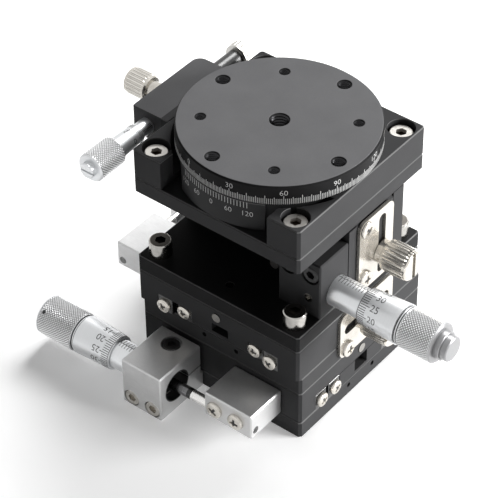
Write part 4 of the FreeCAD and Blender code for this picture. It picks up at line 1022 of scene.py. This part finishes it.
def rimScale():
    turn = math.radians(110)     # azimuth of a number is the number less 110 degrees, and angles turn the other way
    marks = ticks.run("rim marks", emptyMesh(), {
        "Count": 360, "First": turn, "Step": -math.radians(1), "Radius": rim["radius"], "Start": 0.05,
        "Length": rim["tick"], "Fifth": rim["fifth"], "Tenth": rim["tenth"], "Offset": 0, "Width": 0.17,
        "Thick": 0.05, "Along": 0.0, "Finish": whiteInk})
    meshes = [marks]
    for number in range(0, 360, 30):
        meshes.append(wrapped(words(str(number), rim["text"], -90, 1.0, 0.03), rim["textAt"], 110 - number,
                              lambda s: rim["radius"]))
    placed("rim_numbers", merged("rim_numbers", meshes), tableLie, bodyOf["rotary_table"], whiteInk,
           False)


def vernierScale():
    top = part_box("vernier_plate")[1].z / mm
    matrix = lie((0, tableLie.translation.y, top * mm), (0, 0, -1), (1, 0, 0))
    marks = ticks.run("vernier marks", emptyMesh(), {
        "Count": 25, "First": math.radians(rim["vernierMiddle"] - 2 * rim["vernierStep"]),
        "Step": math.radians(rim["vernierStep"] / 6), "Radius": rim["radius"],
        "Start": 0.05, "Length": 2.1, "Fifth": 0.0, "Tenth": 0.0, "Offset": 0, "Width": 0.17, "Thick": 0.05,
        "Along": 0.0, "Finish": whiteInk})
    meshes = [marks]
    for place, number in enumerate(("120", "60", "0", "60", "120")):
        azimuth = rim["vernierMiddle"] + (place - 2) * rim["vernierStep"]
        meshes.append(wrapped(words(number, 1.75, 90, 1.0, 0.03), rim["vernierText"], azimuth, lambda s: rim["radius"]))
    placed("vernier_numbers", merged("vernier_numbers", meshes), matrix, bodyOf["vernier_plate"], whiteInk,
           False)


def threadMesh(radius, pitch, turns, depth):
    outline = [(0.0, radius + 0.05)]
    for turn in range(turns):
        low = -turn * pitch
        outline += [(low - 0.05, radius - 0.02), (low - pitch * 0.45, radius - depth), (low - pitch * 0.55, radius - depth)]
    outline += [(-turns * pitch, radius + 0.05)]
    mesh = lathe("thread", outline, 28)
    mesh.transform(Matrix.Scale(mm, 4) @ Matrix.Rotation(math.radians(-90), 4, "Y"))
    return mesh


# ring radius, hole radius, depth, first angle, countersink
holes = {"m4": (25.0, 2.0, 5.6, -11.1, 0.32), "m3": (22.625, 1.5, 5.6, 33.9, 0.28), "m6": (0.0, 2.85, 11.0, 0, 0.3)}
pitches = {"m4": (0.7, 7, 0.26), "m3": (0.5, 9, 0.2), "m6": (1.0, 9, 0.34)}


def tableThreads():
    centre = tableLie.translation
    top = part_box("rotary_table")[1].z
    for name, (ring, radius, deep, first, sink) in holes.items():
        pitch, turns, depth = pitches[name]
        spots = []
        for quarter in range(4 if ring else 1):
            angle = math.radians(first + 90 * quarter)
            spot = Vector((ring * mm * math.cos(angle), centre.y + ring * mm * math.sin(angle), top - sink * mm))
            spots.append((spot, (0, 0, 1)))
        standOn("table_" + name + "_threads", threadMesh(radius, pitch, turns, depth), spots, bodyOf["rotary_table"],
                shadedThreadFinish)


def openTable():
    # the table's solid, its tapped holes opened to their full thread with a small countersink
    shaped, groups = islands(frame["nodes"]["rotary_table"].data)
    mesh = bpy.data.meshes.new("table")
    shaped.to_mesh(mesh)
    shaped.free()
    mesh.transform(Matrix.Scale(1 / mm, 4))
    centre = tableLie.translation / mm
    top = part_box("rotary_table")[1].z / mm
    tools = []
    for ring, radius, deep, first, sink in holes.values():
        for quarter in range(4 if ring else 1):
            angle = math.radians(first + 90 * quarter)
            tool = lathe("drill", [(-deep, 0.0), (-deep, radius), (-sink, radius), (0.0, radius + sink),
                                   (0.5, radius + sink), (0.5, 0.0)], 40)
            tool.transform(Matrix.Translation((ring * math.cos(angle), centre.y + ring * math.sin(angle), top))
                           @ Matrix.Rotation(math.radians(-90), 4, "Y"))
            tools.append(tool)
    done = carved(mesh, [merged("drill", tools)])
    piece = placed("rotary_table_open", done, Matrix.Scale(mm, 4), bodyOf["rotary_table"], litTableFinish)
    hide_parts("rotary_table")


rimScale()
vernierScale()
openTable()
tableThreads()
print("table marked")


# Floor, light and camera

camera = {"place": (313.02, -406.66, 491.70), "azimuth": 38.693, "elevation": 41.482, "roll": -0.597, "lens": 165.62}
studio = {"back": ((-0.10, 0.80, 0.85), 0.6, 15.0), "right": ((1.30, 0.70, 0.33), 0.9, 60)}


def addFloor():
    reach = 3.0
    mesh = plainMesh("floor", [(-reach, -reach, 0), (reach, -reach, 0), (reach, reach, 0), (-reach, reach, 0)],
                     [(0, 1, 2, 3)])
    material, shader, place = newFinish("floor", (0.9, 0.9, 0.9), 0.85)
    cloud = grain(place, 60, 2)
    blended(cloud, (0.88, 0.88, 0.88), (0.93, 0.93, 0.93)).into(shader["Base Color"])
    shader["Emission Color"].default_value = (1, 1, 1, 1)
    shader["Emission Strength"].default_value = 0.26
    mesh.materials.append(material)
    floor = bpy.data.objects.new("floor", mesh)
    scene.collection.objects.link(floor)


def addLight():
    for name, (place, size, power) in studio.items():
        light = bpy.data.lights.new(name, "AREA")
        light.shape = "DISK"
        light.size = size
        light.energy = power
        lamp = bpy.data.objects.new(name, light)
        lamp.location = place
        lamp.rotation_euler = (Vector((0, 0, 0.04)) - Vector(place)).to_track_quat("-Z", "Y").to_euler()
        scene.collection.objects.link(lamp)
    world = bpy.data.worlds.new("studio")
    scene.world = world
    world.use_nodes = True
    world.node_tree.nodes.clear()
    wire = Wire(world.node_tree)
    rays = world.node_tree.nodes.new("ShaderNodeLightPath")
    seen = [Wire(world.node_tree, rays.outputs[name])
            for name in ("Is Camera Ray", "Is Glossy Ray", "Is Transmission Ray")]
    white = wire.maths("MAXIMUM", seen[0], wire.maths("MAXIMUM", seen[1], seen[2]))
    glow = wire.node("ShaderNodeBackground", inputs={"Color": (1, 1, 1, 1), "Strength": white * 0.9 + 0.1})
    target = world.node_tree.nodes.new("ShaderNodeOutputWorld")
    glow.into(target.inputs[0])


def addCamera():
    turn = math.radians(camera["azimuth"])
    rise = math.radians(camera["elevation"])
    roll = math.radians(camera["roll"])
    back = Vector((math.sin(turn) * math.cos(rise), -math.cos(turn) * math.cos(rise), math.sin(rise)))
    right = Vector((math.cos(turn), math.sin(turn), 0))
    up = back.cross(right)
    level = right * math.cos(roll) + up * math.sin(roll)
    upright = up * math.cos(roll) - right * math.sin(roll)
    data = bpy.data.cameras.new("camera")
    data.lens = camera["lens"]
    data.sensor_width = 36
    data.clip_end = 10
    seer = bpy.data.objects.new("camera", data)
    seer.matrix_world = (Matrix.Translation(Vector(camera["place"]) * mm)
                         @ Matrix((level, upright, back)).transposed().to_4x4())
    scene.collection.objects.link(seer)
    scene.camera = seer


addFloor()
addLight()
addCamera()
scene.view_settings.view_transform = "Standard"
print("floor, light and camera ready")
